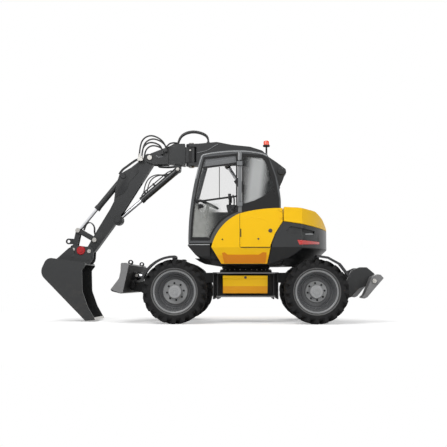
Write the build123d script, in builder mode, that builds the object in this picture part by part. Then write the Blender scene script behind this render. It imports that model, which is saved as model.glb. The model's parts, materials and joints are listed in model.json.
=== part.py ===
from build123d import *
from math import atan2, cos, degrees, hypot, pi, radians, sin, tan
import os

# Wheeled excavator with a three-section boom, a front dozer blade and rear stabilisers.
#
# Millimetres, +X forward, +Y to the driver's left, +Z up. The origin is on the ground at the
# middle of the overall length and width. Side outlines are drawn from the slew axis: x along the
# machine, z up from the ground.

os.makedirs("parts", exist_ok=True)

# ---------------------------------------------------------------- driving sizes
slew_x = -653.4  # slew axis, from the middle of the overall length

wheel_base = 2370.0
tyre_radius = 540.0
tyre_width = 430.0
overall_width = 2450.0
wheel_y = (overall_width - tyre_width) / 2
king_pin_y = wheel_y - 310
axle_x = wheel_base / 2
rim_radius = 343.0
rim_flange_radius = 364.0
hub_radius = 208.0
fender_gap = 45.0
fender_wall = 12.0

frame_top = 869.0
frame_bottom = 442.0

ring_radius = 470.0
race_z = 949.0  # foot of the slew ring's upper race, just over the lower one
deck_bottom = 991.0
deck_plate = 110.0

body_half_width = 1100.0
body_wall = 45.0
seam_z = 1282.0

cab_left = body_half_width - 55
cab_right = 130.0
cab_floor = 1357.0
cab_wall = 50.0
glass = 8.0

boom_y = -120.0
gap = 6.0  # between pieces that turn against each other
fit = 0.5  # all round a pin or between a pane and its frame

# Pivots, as (x from the slew axis, z)
boom_foot = (150.0, 1300.0)
knee = (-649.0, 2723.0)
swing_x = 1000.0
arm_pivot = (1765.0, 2990.0)
bucket_pivot = (2864.0, 1267.0)
lever_pin = (2770.0, 1474.0)
rod_pin = (3081.0, 1651.0)
coupler_pin = (3154.0, 1300.0)
blade_pivot = (axle_x + 265, 520.0)
leg_pivot = (-axle_x - 555, 520.0)
pad_pin = (-axle_x - 1005, 720.0)

hub_z = tyre_radius
fender_radius = tyre_radius + fender_gap

corners = {  # (forwards, left) sign of each wheel
    "fl": (1, 1),
    "fr": (1, -1),
    "rl": (-1, 1),
    "rr": (-1, -1),
}


# ---------------------------------------------------------------- drawing helpers
def side(y, start=0.0):
    """Upright plane at y, x counted from start; what is extruded from it grows to the right."""
    return Plane(origin=(slew_x + start, y, 0), x_dir=(1, 0, 0), z_dir=(0, -1, 0))


def level(z):
    """Flat plane at height z, centred on the slew axis."""
    return Plane(origin=(slew_x, 0, z), x_dir=(1, 0, 0), z_dir=(0, 0, 1))


def across(x):
    """Upright plane across the machine; what is extruded from it grows forwards."""
    return Plane(origin=(slew_x + x, 0, 0), x_dir=(0, 1, 0), z_dir=(1, 0, 0))


def outline(plane, points):
    """Flat face with straight edges."""
    with BuildSketch(plane) as flat:
        with BuildLine():
            Polyline(*points, close=True)
        make_face()
    return flat.sketch


def rounded(plane, points, radii):
    """Flat face whose corners are rounded, one radius for each point, 0 for a sharp one."""
    with BuildSketch(plane) as flat:
        with BuildLine():
            Polyline(*points, close=True)
        make_face()
        for point, radius in zip(points, radii):
            if radius > 0:
                fillet(flat.vertices().sort_by_distance(point)[0], radius)
    return flat.sketch


def disc(plane, centre, radius):
    """Flat round face."""
    with BuildSketch(plane) as flat:
        with Locations(centre):
            Circle(radius)
    return flat.sketch


def bar(plane, start, end, width):
    """Flat strip with round ends between two points."""
    with BuildSketch(plane) as flat:
        with Locations(((start[0] + end[0]) / 2, (start[1] + end[1]) / 2)):
            length = hypot(end[0] - start[0], end[1] - start[1])
            turn = degrees(atan2(end[1] - start[1], end[0] - start[0]))
            SlotCenterToCenter(length, width, rotation=turn)
    return flat.sketch


def box(x_range, y_range, z_range, mode=Mode.ADD):
    """Block between two planes each way, x from the slew axis."""
    with BuildSketch(level(z_range[0])) as flat:
        with Locations(((x_range[0] + x_range[1]) / 2, (y_range[0] + y_range[1]) / 2)):
            Rectangle(x_range[1] - x_range[0], y_range[1] - y_range[0])
    extrude(flat.sketch, amount=z_range[1] - z_range[0], mode=mode)


def save(piece, name):
    """Label one finished piece and write it."""
    piece.part.label = name
    export_step(piece.part, f"parts/{name}.step")


# ---------------------------------------------------------------- chassis
neck_half = 250.0
neck_bottom = 692.0
end_plate_x = (axle_x - 710, axle_x - 618)
end_plate_half = king_pin_y - 60
top_flange = 24.0
toolbox_x = (-378.0, 391.0)
toolbox_y = (432.0, 760.0)
toolbox_z = (506.0, 812.0)
pivot_tube = 62.0
blade_arm_y = (300.0, 370.0)
leg_y = (365.0, 455.0)

with BuildPart() as chassis_frame:
    # Centre box under the slew ring, with a flange all round its top and foot
    box((-end_plate_x[1], end_plate_x[1]), (-420, 420), (frame_bottom, frame_top))
    box((-end_plate_x[1], end_plate_x[1]), (-toolbox_y[1], toolbox_y[1]), (frame_top - top_flange, frame_top))
    box((-420, 430), (-toolbox_y[1], toolbox_y[1]), (frame_bottom, frame_bottom + top_flange))
    for end in (-1, 1):
        x_near, x_far = sorted(end * x for x in end_plate_x)
        box((x_near, x_near + 20), (-end_plate_half, end_plate_half), (406, frame_top))
        box((x_far - 20, x_far), (-end_plate_half, end_plate_half), (406, frame_top))
        # Neck over the axle and the bracket in front of it
        neck_x = sorted((end * (end_plate_x[1] - 5), end * (axle_x + 190)))
        box(neck_x, (-neck_half, neck_half), (neck_bottom, frame_top))
    nose = [(180, 430), (375, 420), (415, 520), (495, 700), (655, 760), (655, 862), (180, frame_top)]
    extrude(outline(side(neck_half, axle_x), nose), amount=2 * neck_half)
    tail = [(-180, 430), (-605, 440), (-645, 520), (-605, 640), (-415, 862), (-180, frame_top)]
    extrude(outline(side(neck_half, -axle_x), tail), amount=2 * neck_half)
    # Tubes that the blade arms and the stabiliser legs turn on
    for inner, pivot in ((blade_arm_y[0] - gap, blade_pivot), (leg_y[0] - gap, leg_pivot)):
        extrude(disc(side(inner), pivot, pivot_tube + 24), amount=2 * inner)
    for reach, pivot in ((blade_arm_y[1] + 8, blade_pivot), (leg_y[1] + 8, leg_pivot)):
        extrude(disc(side(reach), pivot, pivot_tube - fit), amount=2 * reach)
save(chassis_frame, "chassis_frame")

with BuildPart() as slew_ring:
    extrude(disc(level(frame_top), (0, 0), ring_radius), amount=44)
    extrude(disc(level(frame_top + 44), (0, 0), ring_radius - 40), amount=30)
save(slew_ring, "slew_ring")

crease_z = (580.0, 748.0)
with BuildPart() as toolboxes:
    for face in (-1, 1):
        sides = [(face * toolbox_y[0], toolbox_z[0]), (face * (toolbox_y[1] - 34), toolbox_z[0])]
        sides += [(face * (toolbox_y[1] - 24), crease_z[0]), (face * (toolbox_y[1] - 12), crease_z[1])]
        sides += [(face * toolbox_y[1], crease_z[1] + 14), (face * toolbox_y[1], toolbox_z[1])]
        sides += [(face * toolbox_y[0], toolbox_z[1])]
        extrude(outline(across(toolbox_x[0]), sides), amount=toolbox_x[1] - toolbox_x[0])
save(toolboxes, "toolboxes")

# ---------------------------------------------------------------- axles, knuckles and wheels
axle_radius = 95.0
yoke_reach = 58.0  # yoke bosses, each side of the king pin
yoke_z = (434.0, 646.0)
yoke_wall = 48.0
pin_radius = 34.0

with BuildPart() as axles:
    for end in (-1, 1):
        centre = (end * axle_x, hub_z)
        inner = king_pin_y - yoke_reach - 30
        extrude(disc(side(inner), centre, axle_radius), amount=2 * inner)
        extrude(disc(side(170), centre, 150), amount=340)
        extrude(disc(side(215), centre, 118), amount=430)
        box((end * axle_x - 85, end * axle_x + 85), (-190, 190), (hub_z + 60, neck_bottom))
        for face in (-1, 1):
            yoke_y = sorted((face * (inner - 30), face * inner))
            box((centre[0] - 70, centre[0] + 70), yoke_y, (yoke_z[0] - yoke_wall, yoke_z[1] + yoke_wall))
            reach = sorted((face * (inner - 10), face * king_pin_y))
            for low in (yoke_z[0] - yoke_wall, yoke_z[1]):
                box((centre[0] - yoke_reach, centre[0] + yoke_reach), reach, (low, low + yoke_wall))
                boss = disc(level(low), (centre[0], face * king_pin_y), yoke_reach)
                extrude(boss, amount=yoke_wall)
            bore = disc(level(yoke_z[0] - yoke_wall - 1), (centre[0], face * king_pin_y), pin_radius + fit)
            extrude(bore, amount=yoke_z[1] - yoke_z[0] + 2 * yoke_wall + 2, mode=Mode.SUBTRACT)
save(axles, "axles")

hub_face = wheel_y - 70  # |y| of the flange that the wheel's disc is bolted to
housing_radius = 112.0
post_y = (wheel_y - 243, wheel_y - 222)

for name, (end, face) in corners.items():
    centre = (end * axle_x, hub_z)
    with BuildPart() as knuckle:
        low, high = yoke_z[0] + gap, yoke_z[1] - gap
        extrude(disc(level(low), (centre[0], face * king_pin_y), yoke_reach), amount=high - low)
        reach = sorted((face * king_pin_y, face * (post_y[1] + 20)))
        box((centre[0] - yoke_reach, centre[0] + yoke_reach), reach, (low + 4, high - 4))
        start = max(face * (king_pin_y + 40), face * (hub_face - gap))
        extrude(disc(side(start), centre, housing_radius - 16), amount=hub_face - gap - king_pin_y - 40)
        start = max(face * post_y[1], face * (hub_face - gap))
        extrude(disc(side(start), centre, housing_radius), amount=hub_face - gap - post_y[1])
        pin = disc(level(yoke_z[0] - yoke_wall - 10), (centre[0], face * king_pin_y), pin_radius)
        extrude(pin, amount=yoke_z[1] - yoke_z[0] + 2 * yoke_wall + 20)
        # Steering arm, towards the middle of the machine
        arm_start, arm_end = (centre[0], face * king_pin_y), (centre[0] - end * 190, face * (king_pin_y + 10))
        extrude(bar(level(low + 10), arm_start, arm_end, 64), amount=38)
    save(knuckle, f"knuckle_{name}")

fender_y = (wheel_y - 168, overall_width / 2 - 3)
fender_lip = 28.0
front_arc = (22.0, 91.0)  # degrees above the hub line, front to top
rear_bends = (90.0, 72.0, 50.0, 24.0)  # the rear fender is a bent plate

for name, (end, face) in corners.items():
    centre = end * axle_x
    if end > 0:
        angles = [front_arc[0] + (front_arc[1] - front_arc[0]) * step / 8 for step in range(9)]
    else:
        angles = [180 - angle for angle in rear_bends]
    reach = fender_radius + (6 if end > 0 else 14)
    bends = [
        [(centre + radius * cos(radians(a)), hub_z + radius * sin(radians(a))) for a in angles]
        for radius in (reach - fender_lip, reach, reach + fender_wall)
    ]
    with BuildPart() as fender:
        start = max(face * fender_y[0], face * fender_y[1])
        extrude(outline(side(start), bends[1] + bends[2][::-1]), amount=fender_y[1] - fender_y[0])
        # Lip turned down along the outer edge
        start = max(face * (fender_y[1] - fender_wall), face * fender_y[1])
        extrude(outline(side(start), bends[0] + bends[2][::-1]), amount=fender_wall)
        # Post from the knuckle up beside the tyre and out over it
        post = sorted((face * post_y[0], face * post_y[1]))
        post_x = sorted((centre - end * 15, centre + end * 75))
        box(post_x, post, (hub_z + housing_radius - 15, hub_z + reach - 2))
        top = sorted((face * post_y[0], face * (fender_y[0] + 60)))
        slope = 0 if end > 0 else -4
        top_x = sorted((centre - end * 10, centre + end * 30))
        box(top_x, top, (hub_z + reach + slope, hub_z + reach + slope + fender_wall - 2))
    save(fender, f"fender_{name}")

rim_half = 175.0
rim_wall = 12.0
flange_wall = 14.0
dish = (-60.0, -46.0)  # the wheel's disc, outwards from the middle of the tyre
hub_flange = (hub_face - wheel_y, -12.0)
hub_cap = (118.0, 112.0)  # radius and how far out it reaches
stud_circle = 143.0
stud_radius = 13.0
studs = 8

rim_section = [  # (outwards from the middle of the tyre, radius)
    (hub_flange[0], 0),
    (hub_flange[0], hub_radius),
    (dish[0], hub_radius),
    (dish[0], rim_radius - rim_wall),
    (-rim_half, rim_radius - rim_wall),
    (-rim_half, rim_flange_radius),
    (flange_wall - rim_half, rim_flange_radius),
    (flange_wall - rim_half, rim_radius),
    (rim_half - flange_wall, rim_radius),
    (rim_half - flange_wall, rim_flange_radius),
    (rim_half, rim_flange_radius),
    (rim_half, rim_radius - rim_wall),
    (dish[1], rim_radius - rim_wall),
    (dish[1], hub_radius),
    (hub_flange[1], hub_radius),
    (hub_flange[1], hub_cap[0]),
    (hub_cap[1] - 14, hub_cap[0]),
    (hub_cap[1], hub_cap[0] - 14),
    (hub_cap[1], 0),
]
bead_y = rim_half - flange_wall - 3
tyre_half = tyre_width / 2
tread_sides = 20  # flats round the tyre, with one lug of each row on every flat
tread_radius = tyre_radius - 50
shoulder = [(-tyre_half, 440), (-tyre_half + 40, tread_radius), (tyre_half - 40, tread_radius), (tyre_half, 440)]
bead_bevel = ((bead_y, rim_flange_radius + 4), (tyre_half + 1, 402))
lug_profile = [  # (outwards from the middle of the tyre, radius)
    (6, tread_radius - 10),
    (6, tyre_radius),
    (tyre_half - 39, tyre_radius),
    (tyre_half - 8, tyre_radius - 28),
    (tyre_half - 8, 440),
    (tyre_half - 20, 440),
    (tyre_half - 55, tread_radius - 10),
]
lug_width = 60.0
lug_lean = 12.0  # degrees


def flats(plane, radius):
    """Many-sided flat face round the wheel's axle, with a flat at the bottom."""
    with BuildSketch(plane) as flat:
        RegularPolygon(radius, tread_sides, major_radius=False, rotation=180 / tread_sides)
    return flat.sketch

for name, (end, face) in corners.items():
    plane = across(end * axle_x)
    axle_line = Axis((slew_x + end * axle_x, 0, hub_z), (0, 1, 0))
    with BuildPart() as rim:
        section = [(face * (wheel_y + out), hub_z + radius) for out, radius in rim_section]
        revolve(outline(plane, section), axis=axle_line)
        stud_side = side(face * (wheel_y + hub_flange[1]))
        turn = radians(360 / studs)
        for stud in range(studs):
            at = (end * axle_x + stud_circle * cos(stud * turn), hub_z + stud_circle * sin(stud * turn))
            extrude(disc(stud_side, at, stud_radius), amount=-face * 26)
    save(rim, f"rim_{name}")
    middle = Plane(origin=(slew_x + end * axle_x, face * wheel_y, hub_z), x_dir=(1, 0, 0), z_dir=(0, face, 0))
    with BuildPart() as tyre:
        loft([flats(middle.offset(out), radius) for out, radius in shoulder], ruled=True)
        extrude(flats(middle.offset(-tyre_half - 1), rim_radius + 1), amount=tyre_width + 2, mode=Mode.SUBTRACT)
        for row in (-1, 1):
            bevel = [flats(middle.offset(row * out), radius) for out, radius in bead_bevel]
            loft(bevel, ruled=True, mode=Mode.SUBTRACT)
        lugs = []
        for row in (-1, 1):
            section = [(face * (wheel_y + row * out), hub_z + radius) for out, radius in lug_profile]
            block = extrude(outline(plane, section), amount=lug_width / 2, both=True, mode=Mode.PRIVATE)
            upright = Axis((slew_x + end * axle_x, face * (wheel_y + row * tyre_half / 2), 0), (0, 0, 1))
            block = block.rotate(upright, row * face * lug_lean)
            lugs += [block.rotate(axle_line, 360 / tread_sides * step) for step in range(tread_sides)]
        add(lugs)
    save(tyre, f"tyre_{name}")

# ---------------------------------------------------------------- turret
tail_radius = 1455.0
bay_x = -640.0  # where the counterweight and the rear hood begin
bracket_y = (142.0, 172.0)  # each side of the boom's middle
lift_foot = (740.0, 1190.0)
foot_pin_radius = 42.0
right_body_y = (-body_half_width, -345.0)
clear_y = body_half_width + 100  # outside both flanks
deck_half = body_half_width - 170
pedestal_y = body_half_width - 125
skirt_foot = (body_half_width - 110, 985.0)  # y and z of the lower edge, pulled in under the body

# What the turret has to pass over as it turns: (distance from the slew axis, height)
sweep_line = [(1050, 985), (1110, 1028), (1190, 1076), (1260, 1102), (1340, 1165), (1480, 1292), (1700, 1292)]


def clear_wheels():
    """Cut away what would meet the wheels and fenders as the turret turns."""
    section = outline(across(0), sweep_line + [(1700, 900), (1050, 900)])
    revolve(section, axis=Axis((slew_x, 0, 0), (0, 0, 1)), mode=Mode.SUBTRACT)


def taper_skirts(top=seam_z):
    """Pull the flanks in below the seam, on both sides of the turret."""
    for face in (-1, 1):
        wedge = [(face * body_half_width, top), (face * (body_half_width + 60), top)]
        wedge += [(face * (body_half_width + 60), 900), (face * (skirt_foot[0] - 30), 900)]
        wedge += [(face * skirt_foot[0], skirt_foot[1])]
        extrude(outline(across(-1600), wedge), amount=3200, mode=Mode.SUBTRACT)


def tail_plan(z, inset=0.0):
    """Plan of the rear of the turret, rounded about the slew axis."""
    with BuildSketch(level(z)) as plan:
        Circle(tail_radius - inset)
        with Locations(((bay_x - 700), 0)):
            Rectangle(1400, 2 * (body_half_width - inset), mode=Mode.INTERSECT)
    return plan.sketch


with BuildPart() as turret_deck:
    deck_top = deck_bottom + deck_plate
    floor = [(-630, deck_bottom), (420, deck_bottom), (790, 1052), (860, deck_top), (-630, deck_top)]
    extrude(outline(side(deck_half), floor), amount=2 * deck_half)
    # Upper race of the slew ring
    extrude(disc(level(race_z), (0, 0), ring_radius - 40), amount=deck_bottom + 5 - race_z)
    # Pedestal and nose under the cab
    nose = [(600, deck_bottom + 20), (740, 1070), (850, 1165), (973, 1312), (965, cab_floor - 8)]
    nose += [(600, cab_floor - 8)]
    extrude(outline(side(cab_left), nose), amount=cab_left - cab_right)
    box((-560, 610), (cab_right + 40, pedestal_y), (deck_top - 5, cab_floor - 8))
    # Brackets for the boom's foot and the lift cylinder
    for face in (-1, 1):
        start = boom_y + (bracket_y[1] if face > 0 else -bracket_y[0])
        ear = [(-60, 1095), (-20, 1300), (60, 1400), (240, 1400), (420, 1290), (lift_foot[0] - 40, 1275)]
        ear += [(lift_foot[0] + 60, 1250), (lift_foot[0] + 95, 1095)]
        ear_face = rounded(side(start), ear, [0, 60, 60, 80, 100, 40, 60, 0])
        extrude(ear_face, amount=bracket_y[1] - bracket_y[0])
    for pin, radius in ((boom_foot, foot_pin_radius), (lift_foot, 32.0)):
        extrude(disc(side(boom_y + bracket_y[1] + 14), pin, radius), amount=2 * bracket_y[1] + 28)
    clear_wheels()
    taper_skirts()
save(turret_deck, "turret_deck")

# Slanted front edge of the tail's flanks
flank_edge = [(bay_x + 14, 1700), (-520, 1519), (-448, 1337), (-437, seam_z), (-376, 1010)]
grille = [(-690, 1560), (-760, 1632), (-1180, 1560), (-1172, 1500), (-800, 1490)]
grille_depth = 30.0
lamp = [(-870, 1404), (-1270, 1386), (-1270, 1348), (-905, 1325)]
lamp_depth = 14.0
lamp_proud = 3.0


def skirt_section(plane, face):
    """A flank's wall under the seam, pulled in towards its foot, on one side of the machine."""
    top = body_half_width - body_wall
    points = [(face * body_half_width, seam_z + 8), (face * body_half_width, seam_z)]
    points += [(face * skirt_foot[0], skirt_foot[1]), (face * (skirt_foot[0] - body_wall), skirt_foot[1])]
    points += [(face * top, seam_z), (face * top, seam_z + 8)]
    return outline(plane, points)


def cut_flanks(points, depth):
    """Sink a side outline into both flanks of the tail, to one depth all along their rounding."""
    with BuildPart(mode=Mode.PRIVATE) as recess:
        extrude(outline(side(clear_y), points), amount=2 * clear_y)
        extrude(tail_plan(deck_bottom, depth), amount=1000, mode=Mode.SUBTRACT)
    add(recess.part, mode=Mode.SUBTRACT)


rear_side = [  # counterweight seen from the side, without its rounding
    (bay_x, deck_bottom),
    (bay_x, 1716),
    (-1500, 1588),
    (-1500, deck_bottom),
]
with BuildPart() as counterweight:
    extrude(outline(side(body_half_width), rear_side), amount=2 * body_half_width)
    extrude(tail_plan(deck_bottom), amount=900, mode=Mode.INTERSECT)
    # Flank panels that reach forward to the slanted edge of the side covers
    for start in (body_half_width, -body_half_width + body_wall):
        flank = [(bay_x - 20, seam_z), (bay_x - 20, 1712)] + flank_edge[:4]
        extrude(outline(side(start), flank), amount=body_wall)
    for face in (-1, 1):
        with BuildPart(mode=Mode.PRIVATE) as skirt:
            extrude(skirt_section(across(-700), face), amount=400)
            reach = [(bay_x - 20, seam_z + 8)] + flank_edge[3:]
            reach += [(-376, skirt_foot[1]), (bay_x - 20, skirt_foot[1])]
            extrude(outline(side(clear_y), reach), amount=2 * clear_y, mode=Mode.INTERSECT)
        add(skirt.part)
    clear_wheels()
    taper_skirts()
    cut_flanks(grille, grille_depth)
    cut_flanks(lamp, lamp_depth)
save(counterweight, "counterweight")

hood_side = [
    (bay_x - 4, 1722),
    (bay_x - 4, 1964),
    (-905, 1950),
    (-1200, 1905),
    (-1330, 1800),
    (-1460, 1600),
]
hood_wall = 40.0
with BuildPart() as rear_hood:
    extrude(rounded(side(body_half_width), hood_side, [0, 20, 300, 120, 200, 0]), amount=2 * body_half_width)
    extrude(tail_plan(deck_bottom), amount=1200, mode=Mode.INTERSECT)
    hollow = [(bay_x - 4 - hood_wall, 1500), (bay_x - 4 - hood_wall, 1920), (-900, 1907), (-1175, 1862)]
    hollow += [(-1285, 1775), (-1460, 1530)]
    with BuildPart(mode=Mode.PRIVATE) as inside:
        extrude(outline(side(body_half_width - hood_wall), hollow), amount=2 * (body_half_width - hood_wall))
        extrude(tail_plan(deck_bottom, hood_wall), amount=1200, mode=Mode.INTERSECT)
    add(inside.part, mode=Mode.SUBTRACT)
save(rear_hood, "rear_hood")

# ---------------------------------------------------------------- cab
pillar_x = 121.0  # front of the upright behind the door
door_wall = 45.0
door_frame = 26.0
seat_y = (cab_left + cab_right) / 2
door_hinge = (pillar_x - 43, cab_left + 17)  # x and y


def cab_side(plane, inset=0.0):
    """The cab's side outline: bowed front, crowned roof and leaning rear post."""
    with BuildSketch(plane) as flat:
        with BuildLine():
            ThreePointArc((965, cab_floor), (906, 2160), (745, 2850))
            ThreePointArc((745, 2850), (735, 2864), (716, 2872))
            ThreePointArc((716, 2872), (200, 2943), (-330, 2890))
            ThreePointArc((-330, 2890), (-362, 2876), (-384, 2846))
            ThreePointArc((-384, 2846), (-528, 2480), (-601, 2080))
            Polyline((-601, 2080), (-601, cab_floor), (965, cab_floor))
        make_face()
        if inset > 0:
            offset(amount=-inset, mode=Mode.REPLACE)
    return flat.sketch


def cover_arc(plane, rise=0.0, foot=1286.0, front=571.0):
    """Area under the sweeping top edge of the left side cover."""
    with BuildSketch(plane) as flat:
        with BuildLine():
            ThreePointArc((front, 1296 + rise), (368, 1668 + rise), (96, 1856 + rise))
            ThreePointArc((96, 1856 + rise), (-250, 1925 + rise), (bay_x + 6, 1944 + rise))
            Polyline((bay_x + 6, 1944 + rise), (bay_x + 6, foot), (front, foot), (front, 1296 + rise))
        make_face()
    return flat.sketch


def door_outline(plane, inset=0.0):
    """The door: front post to the upright, with its lower rear corner swept over the cover."""
    with BuildSketch(plane) as flat:
        with BuildLine():
            ThreePointArc((930, cab_floor + 40), (860, 2160), (706, 2822))
            Polyline((706, 2822), (pillar_x + 4, 2888), (pillar_x + 4, 1880))
            ThreePointArc((pillar_x + 4, 1880), (420, 1700), (600, cab_floor + 40))
            Line((600, cab_floor + 40), (930, cab_floor + 40))
        make_face()
        if inset > 0:
            offset(amount=-inset, mode=Mode.REPLACE)
    return flat.sketch


quarter_window = [(60, 2850), (-300, 2818), (-420, 2560), (-520, 2200), (-540, 2010), (60, 1960)]
windscreen_z = (1480.0, 2800.0)
rear_window_z = (2060.0, 2760.0)
post = 52.0  # front and rear posts, across

with BuildPart() as cab_shell:
    extrude(cab_side(side(cab_left)), amount=cab_left - cab_right)
    room = cab_side(side(cab_left - cab_wall), cab_wall)
    extrude(room, amount=cab_left - cab_right - 2 * cab_wall, mode=Mode.SUBTRACT)
    extrude(door_outline(side(cab_left + 1)), amount=cab_wall + 2, mode=Mode.SUBTRACT)
    quarter = rounded(side(cab_left + 1), quarter_window, [30, 60, 30, 30, 40, 30])
    extrude(quarter, amount=cab_wall + 2, mode=Mode.SUBTRACT)
    # Right window, one long opening
    right = [(680, 2800), (-300, 2818), (-420, 2560), (-520, 2200), (-540, 1960), (840, 1960), (850, 2160)]
    extrude(rounded(side(cab_right + cab_wall + 1), right, [60, 60, 30, 30, 60, 60, 30]), amount=cab_wall + 2,
            mode=Mode.SUBTRACT)
    for x_range, z_range in (((500, 1100), windscreen_z), ((-800, -340), rear_window_z)):
        box(x_range, (cab_right + post, cab_left - post), z_range, mode=Mode.SUBTRACT)
save(cab_shell, "cab_shell")

with BuildPart() as cab_glass:
    # Windscreen and rear window follow the cab's outline
    for x_range, z_range in (((500, 1100), windscreen_z), ((-800, -340), rear_window_z)):
        with BuildPart(mode=Mode.PRIVATE) as pane:
            pane_side = side(cab_left - post - fit)
            extrude(cab_side(pane_side, 18), amount=cab_left - cab_right - 2 * post - 2 * fit)
            extrude(cab_side(side(cab_left), 18 + glass), amount=cab_left, mode=Mode.SUBTRACT)
            box(x_range, (0, clear_y), (z_range[0] + fit, z_range[1] - fit), mode=Mode.INTERSECT)
        add(pane.part)
    with BuildPart(mode=Mode.PRIVATE) as panes:
        quarter = rounded(side(cab_left - 18), quarter_window, [30, 60, 30, 30, 40, 30])
        extrude(offset(quarter, amount=-fit, mode=Mode.PRIVATE), amount=glass)
        window = rounded(side(cab_right + 18 + glass), right, [60, 60, 30, 30, 60, 60, 30])
        extrude(offset(window, amount=-fit, mode=Mode.PRIVATE), amount=glass)
    add(panes.part)
save(cab_glass, "cab_glass")

rail = [(930, 2034), (930, 2062), (100, 2174), (100, 2146)]
with BuildPart() as cab_door:
    extrude(door_outline(side(cab_left), gap), amount=door_wall)
    extrude(door_outline(side(cab_left + 1), gap + door_frame), amount=door_wall + 2, mode=Mode.SUBTRACT)
    with BuildPart(mode=Mode.PRIVATE) as bar_across:
        extrude(outline(side(cab_left - 4), rail), amount=door_wall - 8)
        extrude(door_outline(side(cab_left), gap + 10), amount=door_wall, mode=Mode.INTERSECT)
    add(bar_across.part)
    # Hinges on the rear edge and the latch handle at the front
    for height in (1990.0, 2700.0):
        extrude(disc(level(height), door_hinge, 13), amount=70)
        box((door_hinge[0], pillar_x + 34), (cab_left + 5, cab_left + 16), (height + 5, height + 65))
        box((pillar_x + 14, pillar_x + 34), (cab_left - 2, cab_left + 16), (height + 5, height + 65))
    handle_z = (2056, 2080)
    box((690, 826), (cab_left + 28, cab_left + 44), handle_z)
    for x in (700, 792):
        box((x, x + 30), (cab_left - 8, cab_left + 44), handle_z)
save(cab_door, "cab_door")

with BuildPart() as door_glass:
    extrude(door_outline(side(cab_left - 18), gap + door_frame + fit), amount=glass)
    strip = [(x, z + rise * fit) for (x, z), rise in zip(rail, (-1, 1, 1, -1))]
    extrude(outline(side(cab_left), strip), amount=60, mode=Mode.SUBTRACT)
save(door_glass, "door_glass")

# ---------------------------------------------------------------- covers and what they hide
seam_x = 94.0
cover_y = (body_half_width - body_wall, body_half_width)
cover_rear = [(bay_x + 12, 1720), (-500, 1519), (-428, 1337), (-414, 1286)]
service_hinge = (-616.0, body_half_width + 12)  # x and y

with BuildPart() as left_cover:
    extrude(cover_arc(side(cover_y[1])), amount=body_wall)
    box((bay_x, seam_x + 3), (pedestal_y, clear_y), (1200, 2000), mode=Mode.SUBTRACT)
    # Skirt under the seam, pulled in towards its foot
    with BuildPart(mode=Mode.PRIVATE) as skirt:
        extrude(skirt_section(across(-700), 1), amount=1400)
        reach = [(560, 1290), (571, 1286), (553, 1255), (407, 1010), (-366, 1010), (-422, 1278), (-426, 1283)]
        reach += [(seam_x, 1283), (seam_x, 1290)]
        extrude(outline(side(clear_y), reach), amount=400, mode=Mode.INTERSECT)
    add(skirt.part)
    # Lugs that hold the cover to the pedestal
    for x in (-300, 20, 380):
        box((x, x + 40), (pedestal_y, cover_y[0] + 4), (1225, 1275))
    clear_wheels()
save(left_cover, "left_cover")

with BuildPart() as service_door:
    extrude(cover_arc(side(cover_y[1]), -2), amount=body_wall - 12)
    front = [(seam_x - 4, 1100), (800, 1100), (800, 2000), (seam_x - 4, 2000)]
    extrude(outline(side(clear_y), front), amount=300, mode=Mode.SUBTRACT)
    behind = cover_rear[::-1] + [(bay_x + 12, 2000), (-900, 2000), (-900, 1200)]
    extrude(outline(side(clear_y), behind), amount=300, mode=Mode.SUBTRACT)
    box((-900, 800), (pedestal_y, clear_y), (1100, 1290), mode=Mode.SUBTRACT)
    for height in (1760.0, 1880.0):
        extrude(disc(level(height), service_hinge, 11), amount=40)
        leaf_x = (service_hinge[0], service_hinge[0] + 50)
        box(leaf_x, (cover_y[1] - 2, cover_y[1] + 8), (height, height + 40))
save(service_door, "service_door")

right_side = [(880, 1150), (905, 1330), (860, 1500), (620, 1640), (96, 1856), (-250, 1925)]
right_side += [(bay_x + 2, 1944), (bay_x + 2, deck_bottom + deck_plate)]
with BuildPart() as right_cover:
    width = right_body_y[1] - right_body_y[0]
    extrude(rounded(side(right_body_y[1]), right_side, [20, 60, 60, 160, 300, 300, 10, 0]), amount=width)
    inner = [(x - 50 if x > 700 else x, z - body_wall) for x, z in right_side[1:-2]]
    inner = [(830, 1090)] + inner + [(bay_x + 2 + body_wall, 1896), (bay_x + 2 + body_wall, 1090)]
    inner_face = outline(side(right_body_y[1] - body_wall), inner)
    extrude(inner_face, amount=width - 2 * body_wall, mode=Mode.SUBTRACT)
    # Rear edge of the outer wall, along the counterweight's flank
    behind = [(x + 20, z) for x, z in flank_edge] + [(-356, 1000), (bay_x - 40, 1000), (bay_x - 40, 2000)]
    behind += [(bay_x + 34, 2000)]
    extrude(outline(side(right_body_y[0] + body_wall + 2), behind), amount=200, mode=Mode.SUBTRACT)
    corner_y = (-clear_y, -skirt_foot[0] + body_wall + 5)
    box((bay_x, bay_x + 60), corner_y, (1000, seam_z + 10), mode=Mode.SUBTRACT)
    # Skirt, as on the left
    with BuildPart(mode=Mode.PRIVATE) as skirt:
        extrude(skirt_section(across(-700), -1), amount=1400)
        reach = [(560, 1290), (553, 1255), (407, 1010), (-366, 1010), (-422, 1278), (-426, 1290)]
        extrude(outline(side(400 - clear_y), reach), amount=400, mode=Mode.INTERSECT)
    add(skirt.part)
    clear_wheels()
    taper_skirts()
    # Cooling grille, a stack of slots through the wall
    for slot in range(7):
        low = 1330 + slot * 62
        box((-540, -90), (-clear_y, right_body_y[0] + body_wall + 5), (low, low + 30), mode=Mode.SUBTRACT)
    # The deck and its brackets stay clear of the cover
    deck_y = (-deck_half - 1, deck_half + 1)
    box((-660, 905), deck_y, (deck_bottom - 1, deck_bottom + deck_plate), mode=Mode.SUBTRACT)
save(right_cover, "right_cover")

with BuildPart() as engine_block:
    box((-520, 260), (right_body_y[0] + 140, right_body_y[1] - 125), (deck_bottom + deck_plate, 1560))
    box((-420, 160), (right_body_y[0] + 240, right_body_y[1] - 215), (1555, 1700))
save(engine_block, "engine_block")

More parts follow.
